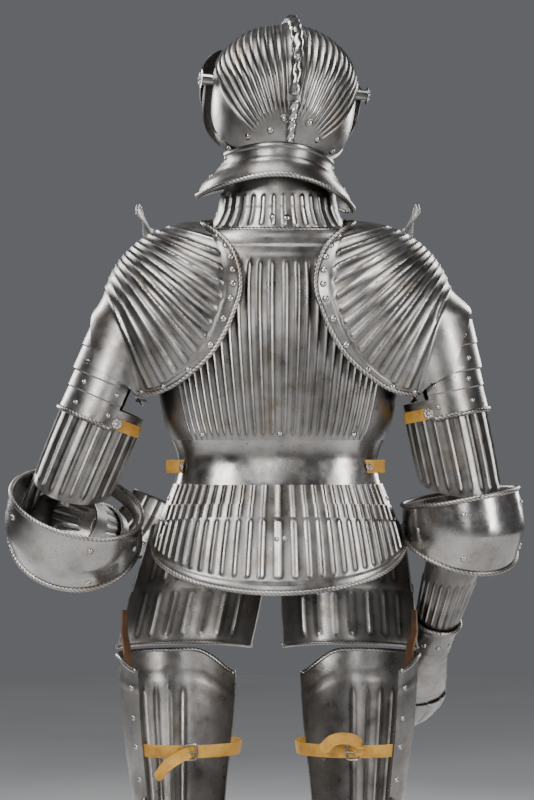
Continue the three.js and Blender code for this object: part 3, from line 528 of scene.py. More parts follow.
def backFace(u, v):
    z = mix(back["waist"], mix(back["top"], back["armpit"], ease(0.62, 1.2, abs(u))), v)
    half = mix(back["waistHalf"], back["topHalf"], ease(back["waist"], back["band"], z))
    q = abs(u)
    away = q * half if q <= 1 else mix(half, back["edge"], (q - 1) / 0.25)
    return torsoPoint(90 + math.copysign(away, u), z)


def backBands(u, v):
    return 1.5 * between(0.885, 0.93, v, 0.006) + 1.2 * ease(0.965, 0.985, v) - 0.6 * ease(0.03, 0, v)


backplate = makePlate({
    "name": "backplate",
    "face": backFace,
    "across": fluteColumns(back["flutes"], -1, 1, 8, -1.25, 1.25),
    "along": spread(0, 0.08, 4) + spread(0.1, 0.78, 20) + spread(0.79, 1, 22),
    "flute": lambda u, v: (fluteWave(u, back["flutes"], -1, 1), ease(0, 0.05, v) * (1 - ease(0.83, 0.87, v))),
    "lift": backBands,
})
rivetsOn(backplate, [(0.01, 0.03), (-0.8, 0.03), (0.8, 0.03)], 3.4)

breast = {"flutes": 9, "waist": 1068, "top": 1440, "armpit": 1318, "edge": 86, "fluted": 0.66}


def breastFace(u, v):
    z = mix(breast["waist"], mix(breast["top"], breast["armpit"], ease(0.5, 1, abs(u))), v)
    return torsoPoint(270 + u * breast["edge"], z)


def breastFlute(u, v):
    wave = fluteWave(u, breast["flutes"], -breast["fluted"], breast["fluted"])
    return wave, ease(0.13, 0.27, v) * (1 - ease(0.8, 0.86, v))


breastplate = makePlate({
    "name": "breastplate",
    "face": breastFace,
    "across": fluteColumns(breast["flutes"], -breast["fluted"], breast["fluted"], 12, -1, 1, 12),
    "along": spread(0, 0.3, 14) + spread(0.33, 0.78, 14) + spread(0.79, 1, 16),
    "flute": breastFlute,
    "lift": lambda u, v: 1.6 * between(0.88, 0.92, v, 0.008),
})
makeRope("breast_neck_rope", "breastplate", rimPath(breastplate, spread(-0.62, 0.62, 60), 0.995, 1.5), 4.2)
rivetsOn(breastplate, [(u, 0.9) for u in spread(-0.5, 0.5, 5)], 3.2)

waistPlate = makePlate({
    "name": "waist_plate",
    "face": lambda u, v: torsoPoint(90 + u * 86, mix(1062, 1152, v), -3.1),
    "across": spread(-1, 1, 90),
    "along": 24,
    "finish": bright,
})
addRivets("waist_plate", seenAt(waistPlate, [(166, 441), (380, 435), (170, 482), (381, 480)]), 3.2)

rump = {"flutes": 27, "fluted": 0.86, "half": 84}
rumpLames = [
    {"name": "rump_lame_1", "top": 1072, "bottom": 1032, "drop": 6, "rise": 0, "out": 0.4, "rows": 10},
    {"name": "rump_lame_2", "top": 1044, "bottom": 1010, "drop": 12, "rise": 6, "out": 3.2, "rows": 10},
    {"name": "rump_lame_3", "top": 1024, "bottom": 908, "drop": -76, "rise": 10, "out": 5.9, "rows": 40},
]


def makeRumpLame(lame):
    deep = lame["name"] == "rump_lame_3"

    def face(u, v):
        side = abs(u) ** 1.7
        z = mix(lame["bottom"] - lame["drop"] * side, lame["top"] - lame["rise"] * side, v)
        return torsoPoint(90 + u * rump["half"], z, lame["out"])

    def flute(u, v):
        wave = fluteWave(u, rump["flutes"], -rump["fluted"], rump["fluted"])
        share = ease(0.17, 0.22, v) * (1 - ease(0.93, 1, v)) if deep else 0.75 * between(0.06, 1.2, v, 0.06)
        return wave, share

    def lift(u, v):
        if deep:
            return 2.2 * between(0.02, 0.13, v, 0.025)
        return 0.7 * (1 - ease(0.0, 0.12, v))

    return makePlate({
        "name": lame["name"],
        "face": face,
        "across": fluteColumns(rump["flutes"], -rump["fluted"], rump["fluted"], 6, -1, 1),
        "along": lame["rows"],
        "flute": flute,
        "lift": lift,
    })


rumpPlates = [makeRumpLame(lame) for lame in rumpLames]
rumpRim = rimPath(rumpPlates[2], spread(-0.985, 0.985, 120), 0.004, 0.5)
makeRope("rump_rope", "rump_lame_3", rumpRim, 3.8, pitch=6.5)
rumpRivets = [(277, 539.5), (285, 539), (166, 524), (392, 514), (160, 536)]
addRivets("rump_lame_3", seenAt(rumpPlates[2], rumpRivets), 3.4)
for lamePlate, high in ((rumpPlates[0], 0.5), (rumpPlates[1], 0.45)):
    rivetsOn(lamePlate, [(-0.93, high), (0.93, high)], 3.2)

hipLames = [
    {"name": "hip_lame_1", "top": 1084, "bottom": 1030, "out": -3.2},
    {"name": "hip_lame_2", "top": 1042, "bottom": 985, "out": -0.4},
]
for lame in hipLames:
    def hipFace(u, v, lame=lame):
        return torsoPoint(270 + u * 83, mix(lame["bottom"], lame["top"], v), lame["out"])

    hipPlate = makePlate({
        "name": lame["name"],
        "face": hipFace,
        "across": fluteColumns(9, -0.66, 0.66, 12, -1, 1),
        "along": 12,
        "flute": lambda u, v: (fluteWave(u, 9, -0.66, 0.66), 0.5 * (1 - ease(0.55, 0.8, v))),
        "lift": lambda u, v: 0.8 * (1 - ease(0, 0.1, v)),
    })
    rivetsOn(hipPlate, [(-0.92, 0.35), (0.92, 0.35), (-0.5, 0.18), (0.5, 0.18)], 3.2)

tasset = {"z": [800, 900, 1010], "middle": [146, 124, 104], "wide": [108, 106, 93], "deep": [128, 136, 134]}
tassetLames = [
    {"name": "tasset_upper", "top": 1006, "bottom": 900, "out": 3},
    {"name": "tasset_lower", "top": 912, "bottom": 812, "out": 5.7},
]


def reach(x, y, wide, deep, e):  # how far out a point is, where 1 is on the rounded edge
    return (abs(x / wide) ** (2 / e) + abs(y / deep) ** (2 / e)) ** (e / 2)


def softMax(a, b, k):
    return (a + b + math.hypot(a - b, k)) / 2


def offBody(p, out):  # moves an outer plate off the cuirass and the gorget, with a soft start
    key = "back" if p[1] >= 0 else "front"
    grow = 1
    if p[2] < 1480:
        wide, deep = readAt(torso, "z", "wide", p[2]) + out, readAt(torso, "z", key, p[2]) + out
        f = reach(p[0], p[1], wide, deep, torso["square"])
        grow = max(grow, softMax(f, 1, 0.02) / f)
    if p[2] > 1450:
        wide, deep = readAt(gorget, "z", "wide", p[2]) + out, readAt(gorget, "z", key, p[2]) + out
        f = reach(p[0], p[1], wide, deep, 1)
        grow = max(grow, softMax(f, 1, 0.02) / f)
    return Vector((p[0] * grow, p[1] * grow, p[2]))


gorget = {
    "z": [1446, 1468, 1500, 1560],
    "wide": [134, 109.5, 93, 84.4],
    "back": [94.2, 88, 82, 76],
    "front": [85, 77, 70, 66],
}


def gorgetPoint(degrees, z, out=0):
    a = math.radians(degrees)
    deep = readAt(gorget, "z", "back" if math.sin(a) >= 0 else "front", z) + out
    return ((readAt(gorget, "z", "wide", z) + out) * math.cos(a), deep * math.sin(a), z)


hang = {"top": 1006, "drop": 200, "left": 0, "right": -34}  # how far each tasset's foot is drawn in
tassetPlates = []
for mirrored in (False, True):
    side = "right" if mirrored else "left"
    shift = hang[side]
    for lame in tassetLames:
        def tassetFace(u, v, lame=lame, shift=shift):
            z = mix(lame["bottom"], lame["top"], v)
            a = math.radians(mix(-154, -14, u))
            middle = readAt(tasset, "z", "middle", z) + shift * (hang["top"] - z) / hang["drop"]
            wide, deep = readAt(tasset, "z", "wide", z), readAt(tasset, "z", "deep", z)
            free = (middle + (wide + lame["out"]) * math.cos(a), -14 + (deep + lame["out"]) * math.sin(a), z)
            return offBody(free, 4.4) if z > 970 else Vector(free)

        tassetPlates.append(makePlate({
            "name": f"{lame['name']}_{side}",
            "face": tassetFace,
            "across": fluteColumns(7, 0.14, 0.86, 6, 0, 1),
            "along": 26,
            "ridge": 1.6,
            "flute": lambda u, v: (fluteWave(u, 7, 0.14, 0.86), between(0.12, 0.84, v, 0.06)),
            "lift": lambda u, v: 0.9 * (1 - ease(0, 0.06, v)),
            "mirrored": mirrored,
        }))
        rivetsOn(tassetPlates[-1], [(0.05, 0.92), (0.95, 0.92), (0.05, 0.1), (0.95, 0.1)], 3.4)
    tassetRim = rimPath(tassetPlates[-1], spread(0.01, 0.99, 60), 0.01)
    makeRope(f"tasset_rope_{side}", f"tasset_lower_{side}", tassetRim, 3.8)
print("stage: cuirass and skirts")

makePlate({
    "name": "gorget_collar",
    "face": lambda u, v: gorgetPoint(u, mix(1516, 1568, v), -3.1),
    "across": spread(0, 360, 96),
    "along": 12,
    "closed": True,
})
gorgetHalves = {}
for half, middle, count in (("back", 90, 14), ("front", 270, 4)):
    gorgetHalves[half] = makePlate({
        "name": f"gorget_{half}",
        "face": lambda u, v, middle=middle: gorgetPoint(middle + u * 89.4, mix(1462, 1524, v)),
        "across": fluteColumns(count, -0.75, 0.75, 8, -1, 1, 8 if count > 9 else 14),
        "along": 26,
        "flute": lambda u, v, count=count: (
            fluteWave(u, count, -0.75, 0.75), shareAlong(v, 0.1, 0.16, 0.84, 0.92)
        ),
        "lift": lambda u, v: 0.9 * between(0.6, 1.2, v, 0.01),
    })
makeRope("gorget_rope", "gorget_back", rimPath(gorgetHalves["back"], spread(-0.62, 0.62, 70), 0.02, 2.2), 3.6)
addRivets("gorget_back", seenAt(gorgetHalves["back"], [(272, 217), (287, 218)]), 4.4)
rivetsOn(gorgetHalves["front"], [(-0.9, 0.5), (0.9, 0.5)], 3.4)

shoulderStrap = {
    "s": [0, 0.2, 0.5, 0.8, 1],
    "y": [64.6, 56.6, -4, -60.4, -90.6],
    "z": [1410, 1444, 1477.2, 1444, 1398],
}
for mirrored in (False, True):
    def strapRun(u, v):
        s = 1 - u
        return (117 + v * 20, readAt(shoulderStrap, "s", "y", s), readAt(shoulderStrap, "s", "z", s) - v * 8)

    makePlate({
        "name": f"shoulder_strap_{'right' if mirrored else 'left'}",
        "face": strapRun,
        "across": 50,
        "along": 6,
        "finish": brown,
        "thickness": strapThickness,
        "mirrored": mirrored,
    })
print("stage: gorget")

# Helmet, seated a little turned and tilted
helmetSeat = {"shift": -10, "height": 1690, "yaw": 8, "roll": -5}
helmetPlace = (
    Matrix.Translation((helmetSeat["shift"], 0, helmetSeat["height"]))
    @ Matrix.Rotation(math.radians(helmetSeat["yaw"]), 4, "Z")
    @ Matrix.Rotation(math.radians(helmetSeat["roll"]), 4, "Y")
)
skull = {
    "wide": 113, "deep": 118, "high": 96, "low": 140, "fullness": 2.7, "pole": -44, "flutes": 12,
    "brow": -30, "nape": -104, "arch": 16, "combHalf": 9, "combHigh": 6,
}


def skullPoint(around, down, out=0):
    a, b, tilt = math.radians(around), math.radians(down), math.radians(skull["pole"])
    x, y, z = math.sin(b) * math.sin(a), math.cos(b), math.sin(b) * math.cos(a)
    y, z = y * math.cos(tilt) - z * math.sin(tilt), y * math.sin(tilt) + z * math.cos(tilt)
    tall = skull["high"] if z >= 0 else skull["low"]
    if z < 0:
        full = skull["fullness"]
        size = (math.hypot(x, y) ** full + (-z) ** full) ** (1 / full)
        x, y, z = x / size, y / size, z / size
    return (x * (skull["wide"] + out), y * (skull["deep"] + out), z * (tall + out))


skullEnds = {}


def skullEnd(around):  # how far a meridian runs, to the face or to the neck opening
    if around not in skullEnds:
        low, high = 5, 170
        for _ in range(24):
            middle = (low + high) / 2
            x, y, z = skullPoint(around, middle)
            arched = skull["nape"] - skull["arch"] * (1 - (y / math.hypot(x, y)) ** 2)
            inside = z > arched and (y > skull["brow"] or z > 46 + (y - skull["brow"]) * 0.62)
            low, high = (middle, high) if inside else (low, middle)
        skullEnds[around] = low
    return skullEnds[around]


def skullFlute(u, v):
    q, down = abs(u), v * skullEnd(-u)
    share = ease(24, 31, down) * (1 - ease(0.9, 0.96, v))
    return fluteWave(q, skull["flutes"], skull["combHalf"] - 1, 80), share if q > 6 else 0


def skullLift(u, v):
    comb = max(0, 1 - (u / skull["combHalf"]) ** 2) ** 0.7
    return skull["combHigh"] * comb * ease(0.16, 0.26, v) * (1 - ease(0.9, 1, v))


fluteSide = spread(8, 80, skull["flutes"] * 8)
skullColumns = (
    spread(-180, -80, 20)[:-1] + [-x for x in reversed(fluteSide)]
    + spread(-7, 7, 14) + fluteSide + spread(80, 180, 20)[1:]
)
skullPlate = makePlate({
    "name": "skull",
    "face": lambda u, v: skullPoint(-u, v * skullEnd(-u)),
    "across": skullColumns,
    "along": spread(0, 0.3, 16) + spread(0.32, 0.88, 28) + spread(0.9, 1, 8),
    "closed": True,
    "flute": skullFlute,
    "sharp": 2.2,
    "lift": skullLift,
    "place": helmetPlace,
})
combRope = [spotOn(skullPlate, 0, v, 1.5)[0] for v in spread(0.2, 0.9, 60)]
makeRope("comb_rope", "skull", combRope, 10, bright, pitch=24)
addRivets("skull", seenAt(skullPlate, [(230, 149), (248, 137), (270.5, 131), (317.5, 140), (332, 152)]), 4.4)

# Plume tube on the nape, twisted and open at the top
tube = {"radius": 8, "top": (117, -32), "end": (103, -90), "length": 62, "off": 14, "turns": 4, "wall": 1.6}


def tubeWay(t):
    (y1, z1), (y2, z2) = tube["top"], tube["end"]
    lean = math.atan2(y1 - y2, z1 - z2)
    off = tube["off"]
    middle = Vector((0, (y1 + y2) / 2 + off * math.cos(lean), (z1 + z2) / 2 - off * math.sin(lean)))
    return helmetPlace @ (middle + Vector((0, math.sin(lean), math.cos(lean))) * (t - 0.5) * tube["length"])


def makePlumeTube():
    low, high = (np.array(tuple(tubeWay(t))) for t in (0, 1))
    whole = np.linalg.norm(high - low)
    tangent = (high - low) / whole
    side = np.cross(tangent, [1, 0, 0])
    side /= np.linalg.norm(side)
    other = np.cross(tangent, side)
    angles = np.linspace(0, 2 * math.pi, 37)
    rows = []
    for t in spread(0, 1, 80):
        swell = 1 + 0.16 * max(0, 1 - abs(t - 0.5) * 30) + 0.12 * (t > 0.95 or t < 0.05)
        lobes = 0.8 + 0.2 * np.abs(np.cos(1.5 * (angles - t * tube["turns"] * math.pi / 1.5)))
        size = tube["radius"] * mix(0.85, 1, t) * swell * lobes
        centre = low + tangent * whole * t
        rows.append(centre + np.outer(size * np.cos(angles), side) + np.outer(size * np.sin(angles), other))
    # The plume tube takes the painted highlight tone of the flute light all over
    piece = meshFromGrid("plume_tube_twisted", np.array(rows), True, np.full((len(rows), len(angles)), 0.9))
    addWall(piece, tube["wall"])
    finishPiece(piece, "plume_tube", bright)


makePlumeTube()


# Ring round a rivet head, as on each side of the plume tube's foot
def makeRing(name, node, point, normal, size):
    bpy.ops.object.select_all(action="DESELECT")
    bpy.ops.mesh.primitive_torus_add(major_segments=40, minor_segments=10, major_radius=1, minor_radius=0.2)
    ring = bpy.context.object
    ring.name = name
    turn = normal.to_track_quat("Z", "Y").to_matrix().to_4x4()
    place = Matrix.Translation(inScene(point + normal * 0.6)) @ turn
    ring.data.transform(place @ Matrix.Scale(size * toMetres, 4))
    return finishPiece(ring, node, aged, 50, hides=False)


footSpots = seenAt(skullPlate, [(285, 119), (310, 123.5)])
for end, (point, normal) in zip(("left", "right"), footSpots):
    makeRing(f"tube_ring_{end}", "skull", point, normal, 6.2)
addRivets("skull", footSpots, 4.6)

turned = {
    "s": [0, 0.28, 0.52, 0.68, 0.8, 0.92, 1],
    "x": [0, 44, 80, 104, 117, 122, 123.5],
    "r": [146, 140, 127, 106, 78, 42, 9.8],
}


def turnedPoint(u, degrees, out):
    s = abs(u)
    x = readAt(turned, "s", "x", s) + out * s ** 2
    r = readAt(turned, "s", "r", s) + out * (1 - s ** 3)
    a = math.radians(degrees)
    return (math.copysign(x, u), -r * math.cos(a), r * math.sin(a))


visor = {"low": -24, "high": 29, "bellows": 3, "sight": 0.845}


def visorFace(u, v):
    span = (visor["high"] - visor["low"]) * (1 - 0.35 * ease(0.6, 1, abs(u)))
    return turnedPoint(u, (visor["low"] + visor["high"]) / 2 + (v - 0.5) * span, 7)


def visorHoles(u, v):  # two sights high up, and rows of breaths in the hollows below
    q = abs(u)
    if 0.05 < q < 0.34 and abs(v - visor["sight"]) < 0.022:
        return True
    row = min(abs(v - level) for level in (0.34, 0.655))
    return q < 0.36 and row < 0.026 and (q * 24) % 1 > 0.45


def visorBellows(u, v):
    return 5 * fluteWave(v, visor["bellows"], 0, 0.9999) ** 0.8 * (1 - ease(0.45, 0.68, abs(u)))


visorPlate = makePlate({
    "name": "visor",
    "face": visorFace,
    "across": spread(-1, 1, 192),
    "along": 60,
    "lift": visorBellows,
    "skip": visorHoles,
    "place": helmetPlace,
})


def chinFace(u, v):
    a = mix(mix(-48, -8, v), mix(-66, 16, v), ease(0.72, 1, abs(u)))
    return turnedPoint(u, a, 0)


chinPlate = makePlate({
    "name": "chin_piece",
    "face": chinFace,
    "across": spread(-1, 1, 96),
    "along": 26,
    "lift": lambda u, v: 0.7 * (1 - ease(0, 0.06, v)),
    "place": helmetPlace,
})
rivetsOn(chinPlate, [(u, 0.12) for u in (-0.6, -0.3, 0.3, 0.6)], 3.2)
rivetsOn(visorPlate, [(-0.86, 0.5), (0.86, 0.5)], 3.2)

neck = {
    "z": [-190, -162, -140, -124, -112],
    "wide": [122, 112, 92, 84.5, 86.7],
    "deep": [122, 114, 104, 101.5, 102.7],
}


def neckPoint(degrees, z, out):
    a = math.radians(degrees)
    drawn = 5.5 if math.sin(a) < 0 else 0
    wide, deep = readAt(neck, "z", "wide", z) + out, readAt(neck, "z", "deep", z) + out - drawn
    return (wide * math.cos(a), deep * math.sin(a), z + skull["arch"] * math.sin(a) ** 2)


neckLames = [
    {"name": "nape_lame", "low": -134, "high": -112, "out": 0.25, "drop": 0, "start": 4, "end": 176},
    {"name": "nape_rim", "low": -162, "high": -129, "out": 3, "drop": 22, "start": 4, "end": 176},
    {"name": "throat_rim", "low": -162, "high": -122, "out": -0.3, "drop": 22, "start": 186, "end": 354},
]
neckPlates = []
for lame in neckLames:
    def neckFace(u, v, lame=lame):
        angle = mix(lame["start"], lame["end"], u)
        low = lame["low"] - lame["drop"] * math.cos(math.radians(angle)) ** 2
        return neckPoint(angle, mix(low, lame["high"], v), lame["out"])

    neckPlates.append(makePlate({
        "name": lame["name"],
        "face": neckFace,
        "across": 80,
        "along": 16,
        "lift": lambda u, v: 0.7 * between(0.78, 0.9, v, 0.02),
        "place": helmetPlace,
    }))
    if lame["name"] != "nape_lame":
        rim = rimPath(neckPlates[-1], spread(0.005, 0.995, 80), 0.02, 0.6)
        makeRope(f"{lame['name']}_rope", lame["name"], rim, 4.4, pitch=6.5)
    rivetsOn(neckPlates[-1], [(0.03, 0.6), (0.97, 0.6)], 3.4)


# Rosette heads: a lobed cap round a small dome, modelled once per place
def makeRosette(name, node, point, normal, size, finish=aged, tall=0.34, hides=False):
    petals, rings = 8, [0, 0.18, 0.30, 0.42, 0.6, 0.8, 0.93, 1.0, 1.0]
    heights = [0.95, 0.88, 0.62, 0.40, 0.62, 0.66, 0.45, 0.15, -0.25]
    angles = np.linspace(0, 2 * math.pi, 65)
    rows = []
    for ring, high in reversed(list(zip(rings, heights))):
        lobe = 1 - 0.13 * (1 - np.abs(np.cos(petals / 2 * angles))) * ease(0.4, 0.9, ring)
        dip = 1 - 0.35 * (1 - np.abs(np.cos(petals / 2 * angles))) * ease(0.35, 0.5, ring) if high > 0 else 1
        wide, up = size * ring * lobe, size * tall * high * dip * np.ones_like(angles)
        rows.append(np.stack([wide * np.cos(angles), wide * np.sin(angles), up], axis=1))
    under = rows[0].mean(axis=0, keepdims=True) * np.ones((len(angles), 1))
    points = np.array([under] + rows)
    turn = np.array(normal.to_track_quat("Z", "Y").to_matrix())
    points = points @ turn.T + np.array(point)
    # The rosette takes the painted highlight tone of the flute light all over
    piece = meshFromGrid(name, points, True, np.full(points.shape[:2], 0.92))
    return finishPiece(piece, node, finish, 50, hides)


for sign, side in ((1, "left"), (-1, "right")):
    outward = helmetPlace.to_3x3() @ Vector((sign, 0, 0))
    hub = helmetPlace @ Vector((sign * 133, 0, 0))
    seat = helmetPlace @ Vector((sign * 131, 0, 0))
    makeRosette(f"pivot_rosette_{side}", f"visor_pivot_{side}", hub - outward * 1.5, outward, 11, aged, 0.4)
    makeRosette(f"pivot_boss_{side}", f"visor_pivot_{side}", seat, outward, 15, bright, 0.1)
print("stage: helmet")

# Arms: each hangs from its elbow, with the upper arm's and the forearm's own directions
arms = {
    "left": {
        "elbow": (340, 12, 1020), "down": (0.385, 0, -0.923), "fore": (-0.26, -0.95, -0.12),
        "slide": 25, "wide": 1.06, "tall": 62, "rise": 0,
    },
    "right": {
        "elbow": (-294, 12, 1020), "down": (-0.2, 0.02, -0.978), "fore": (0.21, -0.5, -0.84),
        "slide": 8, "wide": 0.88, "tall": 64, "rise": -4,
    },
}
pivotReach = 65.3
lameReach = 76


def offArm(p, side):  # moves a point of a shoulder plate off the arm's lames, in the left arm's sense
    sign = 1 if side == "left" else -1
    foot, down = Vector(arms[side]["elbow"]), Vector(arms[side]["down"])
    foot.x *= sign
    up = Vector((-down.x * sign, -down.y, -down.z)).normalized()
    along = (p - foot).dot(up)
    axis = foot + up * along
    away = p - axis
    wanted = mix(softMax(away.length, lameReach, 3), away.length, ease(306, 360, along))
    return axis + away * (wanted / away.length)


shoulder = {"x": 120, "y": 5, "z": 1345, "wide": 152, "deep": 130, "high": 136, "low": 226, "front": 5}
shoulderEdge = {
    "a": [-166, -140, -112, -84, -50, -20, 10, 30, 60, 86, 106, 122, 136, 150, 166],
    "down": [40, 52, 78, 98, 104, 99, 99, 108, 115, 114, 101, 78, 56, 43, 36],
}


def shoulderPoint(around, down):
    a, b = math.radians(around), math.radians(down)
    up = math.cos(a)
    tall = shoulder["high"] if up >= 0 else shoulder["low"]
    return Vector((
        shoulder["x"] + shoulder["wide"] * math.cos(b),
        shoulder["y"] + shoulder["deep"] * math.sin(b) * math.sin(a),
        shoulder["z"] + tall * math.sin(b) * up,
    ))


def shoulderFace(u, v, side):
    start = 5 + 22 * ease(95, 160, abs(u))
    free = shoulderPoint(u, mix(start, readAt(shoulderEdge, "a", "down", u), v))
    return offBody(offArm(free, side), plateThickness + ridge + 1)


fan = {"x": 329, "z": 1518, "flutes": 13, "start": 15, "end": 68}  # where the flutes behind would meet


def shoulderFlute(u, v, side):
    border = 1 - ease(0.87, 0.9, v)
    if u < 0:
        return fluteWave(u, shoulder["front"], -118, -64), ease(0.14, 0.3, v) * border
    x, _, z = shoulderFace(u, v, side)
    fall = math.degrees(math.atan2(fan["z"] - z, fan["x"] - x))
    far = math.hypot(fan["x"] - x, fan["z"] - z)
    wave = fluteWave(fall, fan["flutes"], fan["start"], fan["end"])
    return wave, border * ease(0, 16, u) * clamp(far / 190, 0.3, 1)


shoulderColumns = (
    spread(-166, -118, 8)[:-1] + spread(-118, -64, shoulder["front"] * 8) + spread(-64, 0, 16)[1:-1]
    + spread(0, 166, 230)
)
guard = {"start": -4, "end": -56, "tall": 54, "lean": 26, "along": 0.6}


def guardFace(u, v, side):
    around, along = mix(guard["start"], guard["end"], u), guard["along"]
    foot = shoulderFace(around, along, side)
    east = shoulderFace(around - 0.5, along, side) - shoulderFace(around + 0.5, along, side)
    north = shoulderFace(around, along + 0.005, side) - shoulderFace(around, along - 0.005, side)
    normal = north.cross(east).normalized()
    if normal.z < 0:
        normal.negate()
    tall = guard["tall"] * math.sin(math.pi * clamp(0.14 + 0.76 * u, 0, 1)) ** 0.7
    return foot + normal * 0.9 + Vector((guard["lean"] * v, 0, tall * v))


shoulderPlates = {}
for side in ("left", "right"):
    mirrored = side == "right"
    plate = shoulderPlates[side] = makePlate({
        "name": f"pauldron_{side}",
        "face": lambda u, v, side=side: shoulderFace(u, v, side),
        "across": shoulderColumns,
        "along": 120,
        "ridge": ridge * 1.25,
        "flute": lambda u, v, side=side: shoulderFlute(u, v, side),
        "sharp": 2.4,
        "lift": lambda u, v: 1.2 * ease(0.895, 0.915, v),
        "mirrored": mirrored,
    })
    edge = [spotOn(plate, u, 0.985, 1.2)[0] for u in spread(-150, 142, 150)]
    makeRope(f"pauldron_rope_{side}", plate["name"], edge, 4.2, pitch=7)
    rivetsOn(plate, [(u, 0.945) for u in spread(34, 136, 10)], 4.4)
    rivetsOn(plate, [(u, 0.945) for u in spread(-150, -60, 5)], 4)
    guardPlate = makePlate({
        "name": f"neck_guard_{side}",
        "face": lambda u, v, side=side: guardFace(u, v, side),
        "across": 50,
        "along": 14,
        "mirrored": mirrored,
    })
    top = [spotOn(guardPlate, u, 0.98)[0] for u in spread(0.02, 0.98, 40)]
    makeRope(f"guard_rope_{side}", guardPlate["name"], top, 2.6, pitch=5)
    rivetsOn(guardPlate, [(u, 0.16) for u in (0.2, 0.5, 0.8)], 3)
print("stage: shoulders")


def basis(along, bend):
    w = along.normalized()
    a = (bend - w * bend.dot(w)).normalized()
    return a, w.cross(a), w


def tubeFace(origin, axes, table, angleAt, distanceAt, out=0):
    a, b, w = axes

    def face(u, v):
        angle, d = math.radians(angleAt(u, v)), distanceAt(u, v)
        bend = (readAt(table, "d", "bend", d) + out) * math.cos(angle) + readAt(table, "d", "shift", d)
        return origin + w * d + a * bend + b * (readAt(table, "d", "wide", d) + out) * math.sin(angle)

    return face


upperArm = {"d": [0, 90, 190, 330], "bend": [60, 63, 62, 64], "wide": [58, 61, 62, 64], "shift": [0, 0, 0, 0]}
foreArm = {
    "d": [-262, -215, -150, -60, 0],
    "bend": [29, 31.9, 38, 45, 46],
    "wide": [29, 31.9, 38, 45, 46],
    "shift": [0] * 5,
}
elbowCap = {
    "d": [-66, -36, 0, 36, 66],
    "bend": [88, 94, 98, 94, 88],
    "wide": [94, 99, 102, 99, 94],
    "shift": [6, 4, 2, 4, 6],
}
cuff = {"d": [-248, -225, -198], "bend": [33.5, 34, 38], "wide": [34.5, 34.5, 38.5], "shift": [0, 0, 0]}
handBack = {
    "d": [-352, -320, -275, -243],
    "bend": [25, 28, 30, 30.3],
    "wide": [50, 50, 40, 30.4],
    "shift": [-6, -4, -1, 0],
}
armFlutes = 22


def sawTooth(v, count):  # overlapping steps, each standing off the one above it
    t = (v * count) % 1
    return (1 - t) * ease(0, 0.06, t)


